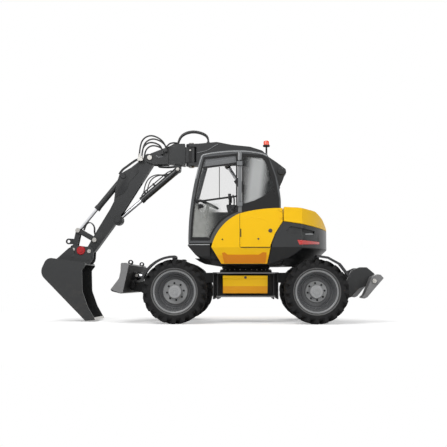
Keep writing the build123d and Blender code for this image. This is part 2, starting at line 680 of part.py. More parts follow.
cushion_z = 1830.0
with BuildPart() as seat:
    box((-60, 330), (seat_y - 200, seat_y + 200), (cab_floor + cab_wall, 1560))
    box((-20, 290), (seat_y - 160, seat_y + 160), (1555, 1700))
    cushion = [(-90, 1700), (400, 1690), (430, 1790), (400, cushion_z), (60, 1812), (-40, 1840)]
    extrude(rounded(side(seat_y + 250), cushion, [20, 40, 40, 40, 60, 0]), amount=500)
    back = [(-90, 1700), (30, 1790), (-20, 2080), (-110, 2390), (-190, 2390), (-230, 2200), (-190, 1760)]
    extrude(rounded(side(seat_y + 235), back, [20, 0, 160, 30, 30, 60, 60]), amount=470)
    rest = [(-120, 2380), (-100, 2430), (-150, 2560), (-220, 2560), (-250, 2420), (-190, 2380)]
    extrude(rounded(side(seat_y + 130), rest, [0, 20, 25, 25, 20, 0]), amount=260)
save(seat, "seat")

with BuildPart() as console:
    # Armrest boxes with a joystick each
    for face in (-1, 1):
        near, far = sorted((seat_y + face * 262, seat_y + face * 350))
        floor_z = cab_floor + cab_wall
        shape = [(-150, floor_z), (150, floor_z), (300, 1880), (330, 2020), (-150, 2000)]
        extrude(rounded(side(far), shape, [0, 0, 40, 20, 20]), amount=far - near)
        middle = (near + far) / 2
        extrude(disc(level(1990), (270, middle), 15), amount=150)
        extrude(disc(level(2120), (270, middle), 26), amount=90)
    # Steering column and wheel
    column = [(720, floor_z), (840, floor_z), (680, 2050), (630, 2040)]
    extrude(outline(side(seat_y + 45), column), amount=90)
    wheel_plane = Plane(origin=(slew_x + 640, seat_y, 2060), x_dir=(0, 1, 0), z_dir=(-0.42, 0, 0.907))
    with BuildPart(wheel_plane, mode=Mode.PRIVATE) as wheel:
        Torus(175, 15)
        Cylinder(50, 40)
        for turn in (90, 210, 330):
            with Locations(Location((0, 0, 0), (0, 0, turn))):
                Box(170, 30, 14, align=(Align.MIN, Align.CENTER, Align.CENTER))
    add(wheel.part)
save(console, "console")

beacon_at = (-364.0, cab_left - 145)
beacon_z = 3021.0
with BuildPart() as beacon:
    # The stem stands on the rear edge of the roof
    extrude(disc(level(2840), beacon_at, 16), amount=beacon_z + 10 - 2840)
    extrude(cab_side(side(cab_left)), amount=400, mode=Mode.SUBTRACT)
    extrude(disc(level(beacon_z), beacon_at, 60), amount=26)
    extrude(disc(level(beacon_z + 26), beacon_at, 52), amount=84)
    fillet(beacon.faces().sort_by(Axis.Z)[-1].edges(), 24)
save(beacon, "beacon")

with BuildPart() as tail_lamps:
    for start in (clear_y, -clear_y + 700):
        extrude(outline(side(start), lamp), amount=700)
    extrude(tail_plan(deck_bottom, -lamp_proud), amount=1000, mode=Mode.INTERSECT)
    extrude(tail_plan(deck_bottom, lamp_depth), amount=1000, mode=Mode.SUBTRACT)
save(tail_lamps, "tail_lamps")

# ---------------------------------------------------------------- boom, arm and bucket
eye_half = 42.0  # half the width of a cylinder's eye
ear_y = (50.0, 80.0)  # ears each side of a cylinder's eye
mid_foot = (-170.0, 2095.0)
lift_eye = (36.0, 1809.0)
mid_eye = (330.0, 2850.0)
arm_foot = (1252.0, 2780.0)
elbow_pin = (2354.0, 1845.0)
bucket_foot = (2256.0, 2657.0)
swing_z = 3040.0
swing_foot = (180.0, boom_y - 190.0)
swing_eye = (swing_x + 60.0, boom_y - 190.0)
lower_y = (106.0, 136.0)
upper_half = 100.0
arm_half = 90.0
fork_y = (96.0, 126.0)
lug_wall = 58.0
head_z = (2842.0, 3251.0)


# Hoses, as points (x, z) from their blocks on; the arch crosses the offset joint
arch_hose = [(690, 3292), (690, 3375), (790, 3450), (965, 3490), (1125, 3455), (1225, 3370), (1252, 3270)]
arm_hoses = [
    [(1464, 3150), (1464, 3280), (1600, 3385), (1760, 3410), (1890, 3330), (1945, 3190), (1950, 3050)],
    [(1530, 3110), (1530, 3205), (1650, 3290), (1765, 3290), (1860, 3220), (1900, 3120), (1905, 3010)],
]
hose_radius = 15.0
hose_y = 164.0


def hose(route, y):
    """A tube along straight runs joined by wide arcs, in the upright plane at y."""
    runs = [hypot(b[0] - a[0], b[1] - a[1]) for a, b in zip(route, route[1:])]
    turns = []
    for a, b, c in zip(route, route[1:], route[2:]):
        turn = atan2(c[1] - b[1], c[0] - b[0]) - atan2(b[1] - a[1], b[0] - a[0])
        turns.append(abs((turn + pi) % (2 * pi) - pi))
    radii = [0.45 * min(pair) / tan(turn / 2) for pair, turn in zip(zip(runs, runs[1:]), turns)]
    print("hose arc radii", [round(radius) for radius in radii])
    plane = side(y)
    with BuildPart(mode=Mode.PRIVATE) as tube:
        with BuildLine(plane) as path:
            FilletPolyline(*route, radius=radii)
        with BuildSketch(Plane(origin=path.line @ 0, z_dir=path.line % 0)):
            Circle(hose_radius)
        sweep(path=path.line)
    return tube.part


def slab(face_at, near, far, mode=Mode.ADD):
    """A face extruded between two distances from the boom's middle, on both sides of it."""
    for start in (far, -near):
        extrude(face_at(side(boom_y + start)), amount=far - near, mode=mode)


def core(face_at, half, mode=Mode.ADD):
    """A face extruded right across the boom's middle."""
    extrude(face_at(side(boom_y + half)), amount=2 * half, mode=mode)


def bore(centre, radius, half=200.0):
    """A pin hole right through."""
    extrude(disc(side(boom_y + half), centre, radius), amount=2 * half, mode=Mode.SUBTRACT)


span = hypot(knee[0] - boom_foot[0], knee[1] - boom_foot[1])
along = ((knee[0] - boom_foot[0]) / span, (knee[1] - boom_foot[1]) / span)


def on_lower(distance, forward):
    """A point on the lower boom: distance from its foot and how far forward of its middle."""
    return (
        boom_foot[0] + distance * along[0] + forward * along[1],
        boom_foot[1] + distance * along[1] - forward * along[0],
    )


with BuildPart() as lower_boom:
    plate = [(-40, -85), (300, -150), (950, -150), (1540, -100), (span + 60, -75), (span + 60, 75)]
    plate += [(1450, 110), (930, 180), (820, 178), (590, 215), (400, 205), (60, 90), (-50, 70)]
    bends = [60, 150, 200, 60, 60, 60, 100, 60, 60, 90, 90, 40, 60]
    slab(lambda plane: rounded(plane, [on_lower(*point) for point in plate], bends), *lower_y)
    web = [(200, -130), (1370, -130), (1370, -20), (980, 40), (200, 30)]
    core(lambda plane: outline(plane, [on_lower(*point) for point in web]), lower_y[0] + 1)
    core(lambda plane: disc(plane, boom_foot, 78), lower_y[0] + 1)
    foot_web = [(0, -60), (220, -100), (220, 20), (0, 60)]
    core(lambda plane: outline(plane, [on_lower(*point) for point in foot_web]), lower_y[0] + 1)
    for pin, radius in ((knee, 40.0), (mid_foot, 30.0)):
        core(lambda plane: disc(plane, pin, radius), lower_y[1] + 10)
    slab(lambda plane: disc(plane, lift_eye, 30), ear_y[0], lower_y[1] + 10)
    bore(boom_foot, foot_pin_radius + fit)
save(lower_boom, "lower_boom")

upper_side = [(-745, 2700), (-735, 2770), (-580, 2890), (-432, 2992), (-310, 3114), (-86, 3188), (260, 3226)]
upper_side += [(529, 3280), (868, head_z[1]), (905, head_z[1]), (905, head_z[0] + 10), (520, 2900)]
upper_side += [(300, 2905), (-300, 2790), (-560, 2630), (-700, 2640)]
with BuildPart() as upper_boom:
    bends = [40, 50, 60, 60, 80, 120, 200, 100, 0, 0, 0, 100, 60, 200, 80, 40]
    core(lambda plane: rounded(plane, upper_side, bends), upper_half)
    # Ears for the cylinder that folds it, and lugs above and below the offset joint
    slab(lambda plane: bar(plane, mid_eye, (360, 2960), 116), *ear_y)
    slab(lambda plane: disc(plane, mid_eye, 30), ear_y[0], ear_y[1] + 8)
    core(lambda plane: disc(plane, mid_eye, 90), ear_y[0], mode=Mode.SUBTRACT)
    for low in (head_z[0], head_z[1] - lug_wall):
        extrude(bar(level(low), (800, boom_y), (swing_x, boom_y), 2 * upper_half), amount=lug_wall)
        extrude(disc(level(low), (swing_x, boom_y), 45.5), amount=lug_wall, mode=Mode.SUBTRACT)
    # Block that the hoses over the offset joint come out of
    foot = arch_hose[0]
    box((foot[0] - 30, foot[0] + 30), (boom_y - 50, boom_y + 50), (foot[1] - 50, foot[1]))
    # Bracket for the offset cylinder, on the right
    for low in (swing_z - ear_y[1], swing_z + ear_y[0]):
        plan = [(40, boom_y - upper_half + 5), (320, boom_y - upper_half + 5), (240, swing_foot[1] - 50)]
        plan += [(120, swing_foot[1] - 50)]
        extrude(rounded(level(low), plan, [0, 0, 50, 50]), amount=ear_y[1] - ear_y[0])
    extrude(disc(level(swing_z - ear_y[1] - 8), swing_foot, 25), amount=2 * ear_y[1] + 16)
    bore(knee, 40 + fit)
save(upper_boom, "upper_boom")

with BuildPart() as hose_arch:
    for y in (boom_y - 24, boom_y + 24):
        add(hose(arch_hose, y))
save(hose_arch, "hose_arch")

with BuildPart() as hoses_arm:
    for route in arm_hoses:
        for face in (-1, 1):
            add(hose(route, boom_y + face * hose_y))
save(hoses_arm, "hoses_arm")

head_side = [(1112, head_z[1]), (1290, head_z[1]), (1474, 3180), (1580, 3120), (1580, 2895), (1329, 2872)]
head_side += [(1112, head_z[0])]
with BuildPart() as boom_head:
    core(lambda plane: rounded(plane, head_side, [20, 120, 150, 0, 0, 100, 20]), upper_half)
    fork = [(1420, 3200), (1500, 3165), (1740, 3072), (1850, 3010), (1840, 2920), (1700, 2868), (1420, 2868)]
    slab(lambda plane: rounded(plane, fork, [20, 80, 80, 60, 60, 60, 20]), *fork_y)
    slab(lambda plane: outline(plane, [(1430, 3180), (1570, 3110), (1570, 2890), (1430, 2890)]), 95, 97)
    core(lambda plane: disc(plane, arm_pivot, 40), fork_y[1] + 12)
    # Knuckle on the offset pin
    low, high = head_z[0] + lug_wall + gap, head_z[1] - lug_wall - gap
    extrude(disc(level(low), (swing_x, boom_y), 90), amount=high - low)
    box((swing_x, 1130), (boom_y - 78, boom_y + 78), (low, high))
    extrude(disc(level(head_z[0] - 12), (swing_x, boom_y), 45), amount=head_z[1] - head_z[0] + 24)
    # Ears of the arm cylinder's foot and of the offset cylinder's eye
    slab(lambda plane: bar(plane, arm_foot, (1252, 2900), 116), *ear_y)
    core(lambda plane: disc(plane, arm_foot, 30), ear_y[1] + 8)
    for low in (swing_z - ear_y[1], swing_z + ear_y[0]):
        extrude(bar(level(low), (1100, boom_y - 60), swing_eye, 68), amount=ear_y[1] - ear_y[0])
    for low in (swing_z - ear_y[1] - 8, swing_z + ear_y[0]):
        extrude(disc(level(low), swing_eye, 25), amount=ear_y[1] - ear_y[0] + 8)
    # Blocks that the arm's hoses come out of
    for route in arm_hoses:
        foot = route[0]
        for face in (-1, 1):
            near, far = sorted((boom_y + face * (upper_half - 2), boom_y + face * (hose_y + 22)))
            box((foot[0] - 24, foot[0] + 24), (near, far), (foot[1] - 60, foot[1]))
save(boom_head, "boom_head")

arm_side = [(1700, 2875), (1700, 3060), (1830, 3070), (2050, 2800), (2190, 2520), (2426, 2183), (2499, 2038)]
arm_side += [(2718, 1675), (2930, 1300), (2864, 1195), (2760, 1270), (2450, 1700), (2256, 1990)]
ear_side = [(1800, 3020), (1850, 3020), (2111, 2815), (2330, 2690), (2400, 2420), (2426, 2183), (2190, 2400)]
with BuildPart() as arm:
    bends = [60, 60, 60, 150, 150, 60, 60, 200, 70, 60, 60, 60, 60]
    core(lambda plane: rounded(plane, arm_side, bends), arm_half)
    slab(lambda plane: rounded(plane, ear_side, [0, 20, 80, 60, 100, 0, 0]), 58, arm_half)
    core(lambda plane: disc(plane, elbow_pin, 98), arm_half)
    for start in (arm_half + 14, -arm_half - 14 + 24):
        extrude(disc(side(boom_y + start), elbow_pin, 76), amount=24)
    # Slot that the arm cylinder lies in
    core(lambda plane: bar(plane, elbow_pin, (2200, 1977), 190), 47, mode=Mode.SUBTRACT)
    core(lambda plane: bar(plane, (2256, 1990), (1940, 2472), 120), 47, mode=Mode.SUBTRACT)
    core(lambda plane: bar(plane, bucket_foot, (2420, 2430), 150), 47, mode=Mode.SUBTRACT)
    core(lambda plane: disc(plane, bucket_foot, 30), arm_half + 12)
    core(lambda plane: disc(plane, lever_pin, 27), 128)
    bore(arm_pivot, 40 + fit)
    bore(bucket_pivot, 35 + fit)
save(arm, "arm")

lever_y = (96.0, 116.0)
link_y = (50.0, 80.0)
coupler_y = (96.0, 128.0)
lifting_ring = (3270.0, 1454.0)
ring_radius_out = 54.0
lug_half = 15.0
with BuildPart() as lever:
    slab(lambda plane: bar(plane, lever_pin, rod_pin, 84), *lever_y)
    slab(lambda plane: disc(plane, rod_pin, 26), eye_half + gap, lever_y[1] + 8)
    bore(lever_pin, 27 + fit)
save(lever, "lever")

with BuildPart() as link:
    slab(lambda plane: bar(plane, rod_pin, coupler_pin, 84), *link_y)
    core(lambda plane: bar(plane, (3120, 1470), (3140, 1380), 60), link_y[0] + 1)
    core(lambda plane: disc(plane, coupler_pin, 30), link_y[1])
    # Lifting ring on its outer side
    near, far = lifting_ring[0] - 150, lifting_ring[0]
    low, high = lifting_ring[1] - ring_radius_out, lifting_ring[1] + ring_radius_out
    tongue = [(near, low + 10), (far, low), (far, high), (near, high - 10)]
    core(lambda plane: outline(plane, tongue), lug_half)
    core(lambda plane: disc(plane, lifting_ring, ring_radius_out), lug_half)
    core(lambda plane: disc(plane, lifting_ring, 28), lug_half, mode=Mode.SUBTRACT)
    bore(rod_pin, 26 + fit)
save(link, "link")

coupler_side = [(2780, 1290), (2830, 1352), (2930, 1352), (3080, 1372), (3190, 1385), (3235, 1300)]
coupler_side += [(3240, 1150), (3180, 1112), (2850, 1068), (2790, 1120)]
coupler_web = [(2830, 1170), (3040, 1175), (3060, 1235), (3225, 1235), (3225, 1150), (3170, 1118)]
coupler_web += [(2850, 1078)]
with BuildPart() as coupler:
    slab(lambda plane: rounded(plane, coupler_side, [60, 60, 30, 30, 50, 50, 60, 50, 50, 50]), *coupler_y)
    core(lambda plane: outline(plane, coupler_web), coupler_y[0] + 1)
    core(lambda plane: disc(plane, bucket_pivot, 35), coupler_y[1] + 4)
    slab(lambda plane: disc(plane, coupler_pin, 26), link_y[1] + gap, coupler_y[1] + 4)
save(coupler, "coupler")

bucket_half = 450.0
bucket_wall = 25.0
bucket_side = [(2925, 918), (2862, 1000), (2880, 1050), (3560, 1145), (3690, 860), (2853, 15), (2674, 30)]
bucket_side += [(2806, 253), (2912, 538)]
bucket_bends = [30, 30, 20, 130, 180, 20, 10, 200, 200]
bucket_room = [(2600, 960), (2890, 1016), (3545, 1112), (3650, 868), (2850, 58), (2600, 64)]
hanger = [(2800, 1100), (2850, 1030), (3480, 1110), (3430, 1150), (3230, 1330), (3170, 1340), (3120, 1200)]
hanger += [(2960, 1180), (2920, 1190), (2830, 1190)]
hanger_y = (134.0, 160.0)
with BuildPart() as bucket:
    core(lambda plane: rounded(plane, bucket_side, bucket_bends), bucket_half)
    room_bends = [0, 20, 110, 160, 40, 0]
    core(lambda plane: rounded(plane, bucket_room, room_bends), bucket_half - bucket_wall, mode=Mode.SUBTRACT)
    slab(lambda plane: rounded(plane, hanger, [20, 0, 0, 30, 30, 30, 60, 20, 20, 30]), *hanger_y)
    for pin in ((2880, 1120), (3170, 1170)):
        slab(lambda plane: disc(plane, pin, 24), coupler_y[1], hanger_y[1] + 8)
save(bucket, "bucket")


# ---------------------------------------------------------------- cylinders
def cylinder(name, plane, offsets, foot, eye, barrel, rod):
    """A hydraulic cylinder between two pins, as a barrel and a rod.

    plane holds both pins and offsets are the distances of its copies from that plane;
    barrel and rod are (radius, length from their own pin, radius of the pin).
    """
    reach = hypot(eye[0] - foot[0], eye[1] - foot[1])
    way = (plane.from_local_coords(eye) - plane.from_local_coords(foot)).normalized()
    with BuildPart() as tube:
        for shift in offsets:
            base = plane.offset(shift)
            start = Plane(origin=base.from_local_coords(foot), z_dir=way)
            lug = bar(base.offset(-eye_half), foot, (foot[0] + (eye[0] - foot[0]) * 90 / reach,
                      foot[1] + (eye[1] - foot[1]) * 90 / reach), 2 * (barrel[2] + 26))
            extrude(lug, amount=2 * eye_half)
            extrude(disc(start.offset(barrel[2] + 30), (0, 0), barrel[0]), amount=barrel[1] - barrel[2] - 30)
            extrude(disc(start.offset(barrel[1] - 60), (0, 0), barrel[0] + 6), amount=60)
            depth = barrel[2] + 34
            extrude(disc(start.offset(depth), (0, 0), rod[0] + fit), amount=barrel[1], mode=Mode.SUBTRACT)
            hole = disc(base.offset(-eye_half - 1), foot, barrel[2] + fit)
            extrude(hole, amount=2 * eye_half + 2, mode=Mode.SUBTRACT)
    save(tube, f"{name}_barrel")
    with BuildPart() as shaft:
        for shift in offsets:
            base = plane.offset(shift)
            start = Plane(origin=base.from_local_coords(eye), z_dir=-way)
            extrude(disc(start, (0, 0), rod[0]), amount=rod[1])
            extrude(disc(base.offset(-eye_half), eye, rod[2] + 16), amount=2 * eye_half)
    save(shaft, f"{name}_rod")


boom_plane = side(boom_y)
blade_foot = (axle_x + 235, 800.0)
blade_eye = (axle_x + 745, 820.0)
blade_cylinder_y = 315.0
cylinder("lift", boom_plane, (0,), lift_foot, lift_eye, (68, 600, 32), (38, 660, 30))
cylinder("mid", boom_plane, (0,), mid_foot, mid_eye, (62, 600, 30), (34, 640, 30))
cylinder("arm", boom_plane, (0,), arm_foot, elbow_pin, (60, 890, 30), (34, 1250, 32))
cylinder("bucket", boom_plane, (0,), bucket_foot, rod_pin, (55, 790, 30), (30, 860, 26))
cylinder("swing", level(swing_z), (0,), swing_foot, swing_eye, (48, 560, 25), (26, 560, 25))
both_sides = (-blade_cylinder_y, blade_cylinder_y)
cylinder("blade", side(0), both_sides, blade_foot, blade_eye, (46, 420, 25), (26, 400, 25))

# ---------------------------------------------------------------- blade and stabilisers
blade_half = overall_width / 2 - 75
blade_side = [(774, 991), (805, 1018), (886, 1018), (881, 900), (907, 767), (966, 672), (1073, 570)]
blade_side += [(1051, 545), (912, 512), (871, 533)]
with BuildPart() as blade:
    bends = [10, 10, 10, 150, 120, 100, 0, 0, 0, 20]
    extrude(rounded(side(blade_half, axle_x), blade_side, bends), amount=2 * blade_half)
    # End plates stand a little proud of the curved face
    for start in (blade_half, -blade_half + 24):
        end_plate = [(770, 985), (805, 1022), (905, 1020), (910, 880), (935, 760), (1077, 575), (905, 508)]
        end_plate += [(867, 530)]
        extrude(rounded(side(start, axle_x), end_plate, [10, 20, 20, 100, 80, 10, 20, 10]), amount=24)
    box((axle_x + 760, axle_x + 865), (-460, 460), (600, 700))
    for face in (-1, 1):
        start = blade_arm_y[1] if face > 0 else -blade_arm_y[0]
        push = [(215, 470), (315, 455), (855, 560), (855, 690), (765, 710), (295, 600), (205, 570)]
        push_face = rounded(side(start, axle_x), push, [50, 60, 0, 0, 40, 60, 50])
        extrude(push_face, amount=blade_arm_y[1] - blade_arm_y[0])
        extrude(disc(side(start), blade_pivot, 92), amount=blade_arm_y[1] - blade_arm_y[0])
        # Lugs for the cylinders' eyes
        middle = face * blade_cylinder_y
        for near in (ear_y[1], -ear_y[0]):
            lug = [(745, 776), (825, 740), (815, 900), (745, 864)]
            extrude(rounded(side(middle + near, axle_x), lug, [40, 0, 0, 40]), amount=ear_y[1] - ear_y[0])
            extrude(disc(side(middle + near), blade_eye, 44), amount=ear_y[1] - ear_y[0])
        for start in (ear_y[1] + 6, -ear_y[0]):
            extrude(disc(side(middle + start), blade_eye, 25), amount=ear_y[1] - ear_y[0] + 6)
        extrude(disc(side(440), blade_pivot, pivot_tube + fit), amount=880, mode=Mode.SUBTRACT)
        # Lashing eyes on the top edge
        eye = disc(side(face * 700 + 12, axle_x), (807, 1040), 46)
        extrude(eye, amount=24)
        extrude(disc(side(face * 700 + 13, axle_x), (807, 1048), 20), amount=26, mode=Mode.SUBTRACT)
save(blade, "blade")

leg_side = [(-495, 470), (-515, 400), (-657, 440), (-787, 587), (-945, 650), (-1070, 760), (-1067, 845)]
leg_side += [(-931, 960), (-803, 960), (-665, 900), (-515, 600)]
pad_y = (470.0, 800.0)
with BuildPart() as stabiliser_legs:
    for face in (-1, 1):
        start = leg_y[1] if face > 0 else -leg_y[0]
        bends = [40, 60, 60, 60, 40, 40, 50, 40, 50, 60, 60]
        extrude(rounded(side(start, -axle_x), leg_side, bends), amount=leg_y[1] - leg_y[0])
        hole = disc(side(start), leg_pivot, pivot_tube + fit)
        extrude(hole, amount=leg_y[1] - leg_y[0], mode=Mode.SUBTRACT)
        start = max(face * (leg_y[1] - 20), face * (pad_y[1] + 10))
        extrude(disc(side(start), pad_pin, 34), amount=pad_y[1] + 30 - leg_y[1])
    # Cross beam between the legs
    box((-axle_x - 925, -axle_x - 805), (-leg_y[0] - 2, leg_y[0] + 2), (700, 860))
save(stabiliser_legs, "stabiliser_legs")

pad_side = [(-772, 432), (-832, 480), (-905, 640), (-965, 790), (-1059, 834), (-1114, 827), (-1168, 768)]
pad_side += [(-995, 572), (-886, 443), (-835, 420)]
with BuildPart() as stabiliser_pads:
    for face in (-1, 1):
        start = pad_y[1] if face > 0 else -pad_y[0]
        pad_face = rounded(side(start, -axle_x), pad_side, [15, 40, 60, 40, 20, 15, 15, 0, 20, 20])
        extrude(pad_face, amount=pad_y[1] - pad_y[0])
        extrude(disc(side(start), pad_pin, 34 + fit), amount=pad_y[1] - pad_y[0], mode=Mode.SUBTRACT)
save(stabiliser_pads, "stabiliser_pads")
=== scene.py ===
"""Wheeled excavator: finishes, added pieces, floor, lights and camera."""

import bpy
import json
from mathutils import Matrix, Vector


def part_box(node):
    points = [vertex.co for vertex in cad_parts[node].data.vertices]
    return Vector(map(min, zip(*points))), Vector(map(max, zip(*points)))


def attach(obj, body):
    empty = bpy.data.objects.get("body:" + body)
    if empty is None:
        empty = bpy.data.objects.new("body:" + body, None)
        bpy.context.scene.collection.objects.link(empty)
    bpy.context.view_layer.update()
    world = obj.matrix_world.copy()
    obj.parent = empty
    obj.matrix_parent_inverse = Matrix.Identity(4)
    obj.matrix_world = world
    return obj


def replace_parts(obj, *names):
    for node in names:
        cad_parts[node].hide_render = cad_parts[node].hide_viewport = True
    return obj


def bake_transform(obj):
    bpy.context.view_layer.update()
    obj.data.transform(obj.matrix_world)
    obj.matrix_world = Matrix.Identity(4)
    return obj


bl_info = {
    "name": "Wheeled excavator",
    "version": (1, 0),
    "blender": (4, 5, 0),
    "location": "View3D > Sidebar > Excavator",
    "description": "Finishes and details of a wheeled excavator",
    "category": "Object",
}

import json
from math import cos, pi, radians, sin

import bmesh
import bpy
from bpy.props import FloatProperty, FloatVectorProperty, IntProperty, PointerProperty
from bpy.types import Operator, Panel, PropertyGroup
from mathutils import Matrix, Vector

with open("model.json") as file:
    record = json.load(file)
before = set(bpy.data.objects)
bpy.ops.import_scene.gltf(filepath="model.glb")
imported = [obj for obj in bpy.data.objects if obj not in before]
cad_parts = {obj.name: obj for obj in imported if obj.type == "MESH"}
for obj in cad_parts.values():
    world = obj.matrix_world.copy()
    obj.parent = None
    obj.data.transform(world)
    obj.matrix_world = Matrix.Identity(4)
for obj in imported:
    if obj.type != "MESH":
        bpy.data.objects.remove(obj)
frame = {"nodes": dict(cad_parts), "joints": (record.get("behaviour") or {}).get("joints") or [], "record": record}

SLEW = frame["joints"][0]["pos_m"][0]
SLOT_OF = {row["node"]: row["material_slot"] for row in frame["record"]["subparts"]}
BODIES = frame["record"]["behaviour"]["bodies"]
BODY_OF = {node: body for body, nodes in BODIES.items() for node in nodes}
CORNERS = {"fl": (1, 1), "fr": (1, -1), "rl": (-1, 1), "rr": (-1, -1)}
SIDES = (("right", -1), ("left", 1))
BOOM_Y = -0.12
ARM_HALF, HEAD_HALF, BUCKET_HALF = 0.090, 0.126, 0.45
LOOP_Y = 0.164  # from the boom's middle to the hoses beside the arm
SLEW_BOLTS = 28


def at(x, y, z):
    """A point given in metres from the slew axis, the middle and the ground."""
    return Vector((SLEW + x, y, z))


def tone(red, green, blue):
    """Linear colour from a picker's values of 0 to 255."""
    values = (red, green, blue)
    return tuple(((v / 255 + 0.055) / 1.055) ** 2.4 if v > 10 else v / 255 / 12.92 for v in values)


# ---------------------------------------------------------------- shader maths
class Wire:
    """One socket of a material; arithmetic on it adds Math nodes."""

    def __init__(self, tree, socket=None):
        self.tree = tree
        self.socket = socket

    def make(self, kind, settings, inputs, output=0):
        """Add a node: its settings first, then the values or wires of its sockets."""
        node = self.tree.nodes.new(kind)
        for name, value in settings.items():
            setattr(node, name, value)
        for key, value in inputs.items():
            if isinstance(value, Wire):
                self.tree.links.new(value.socket, node.inputs[key])
            else:
                node.inputs[key].default_value = value
        return Wire(self.tree, node.outputs[output])

    def maths(self, operation, *values):
        """Any operation of a Math node."""
        return self.make("ShaderNodeMath", {"operation": operation}, dict(enumerate(values)))

    def __add__(self, other):
        return self.maths("ADD", self, other)

    __radd__ = __add__

    def __sub__(self, other):
        return self.maths("SUBTRACT", self, other)

    def __rsub__(self, other):
        return self.maths("SUBTRACT", other, self)

    def __mul__(self, other):
        return self.maths("MULTIPLY", self, other)

    __rmul__ = __mul__

    def step(self, low, high):
        """0 below low, 1 above high and a smooth rise between."""
        settings = {"interpolation_type": "SMOOTHSTEP"}
        return self.make("ShaderNodeMapRange", settings, {0: self, 1: low, 2: high})

    def noise(self, place, scale, detail=3.0, rough=0.5):
        """Cloudy values from 0 to 1."""
        inputs = {"Vector": place, "Scale": scale, "Detail": detail, "Roughness": rough}
        return self.make("ShaderNodeTexNoise", {}, inputs)

    def part(self, place, axis):
        """One coordinate of a vector, X, Y or Z."""
        return self.make("ShaderNodeSeparateXYZ", {}, {0: place}, axis)

    def mix(self, share, first, second):
        """Two colours mixed, all the second where share is 1."""
        first, second = (c if isinstance(c, Wire) else (*c, 1.0) for c in (first, second))
        return self.make("ShaderNodeMix", {"data_type": "RGBA"}, {0: share, 6: first, 7: second}, 2)

    def bump(self, height, distance, strength=1.0):
        """A normal tilted by a height."""
        inputs = {"Height": height, "Distance": distance, "Strength": strength}
        return self.make("ShaderNodeBump", {}, inputs)


def finish(name, sockets, tree_maker=None):
    """A material with a Principled shader; tree_maker returns what varies over the surface."""
    material = bpy.data.materials.new(name)
    material.use_nodes = True
    shader = material.node_tree.nodes["Principled BSDF"]
    for socket, value in sockets.items():
        shader.inputs[socket].default_value = (*value, 1.0) if isinstance(value, tuple) else value
    if tree_maker:
        wire = Wire(material.node_tree)
        place = wire.make("ShaderNodeTexCoord", {}, {}, "Object")
        for socket, value in tree_maker(wire, place).items():
            material.node_tree.links.new(value.socket, shader.inputs[socket])
    return material


def upward(wire):
    """1 on faces that look up, 0 on walls and undersides."""
    normal = wire.make("ShaderNodeNewGeometry", {}, {}, "Normal")
    return wire.part(normal, "Z").step(0.55, 0.95)


def paint(name, colour, rough, coat, dust=0.12, soil=0.0, grain=0.0, below=None):
    """Sprayed paint with faint clouding, dust on top faces and soil near the ground.

    below is (height, colour) of a second colour under that height, with a sharp edge: painted shade on the side
    covers and the toolboxes, and a near-black lower part on the tail.
    """

    def tree(wire, place):
        cloud = wire.noise(place, 1.7, 4)
        fine = wire.noise(place, 38, 5, 0.65)
        shade = wire.mix((cloud - 0.5) * 0.5 + 0.25, colour, tuple(c * 0.8 for c in colour))
        if below:
            edge = wire.part(place, "Z").step(below[0] - 0.001, below[0] + 0.001)
            shade = wire.mix(edge, below[1], shade)
        settled = upward(wire) * fine.step(0.3, 0.8) * dust
        shade = wire.mix(settled, shade, tone(150, 142, 130))
        if soil:
            low = 1 - wire.part(place, "Z").step(0.25, 0.95)
            spots = wire.noise(place, 9, 6, 0.7).step(0.4, 0.75)
            shade = wire.mix(low * spots * soil, shade, tone(104, 96, 86))
        result = {"Base Color": shade, "Roughness": fine * 0.12 + (rough - 0.06) + settled * 0.3}
        peel = wire.noise(place, 240, 2) * 0.5 + wire.noise(place, 900, 2) * 0.5
        result["Normal"] = wire.bump(peel, 0.0004 + grain, 0.35)
        return result

    return finish(name, {"Coat Weight": coat, "Coat Roughness": 0.16, "Specular IOR Level": 0.3}, tree)


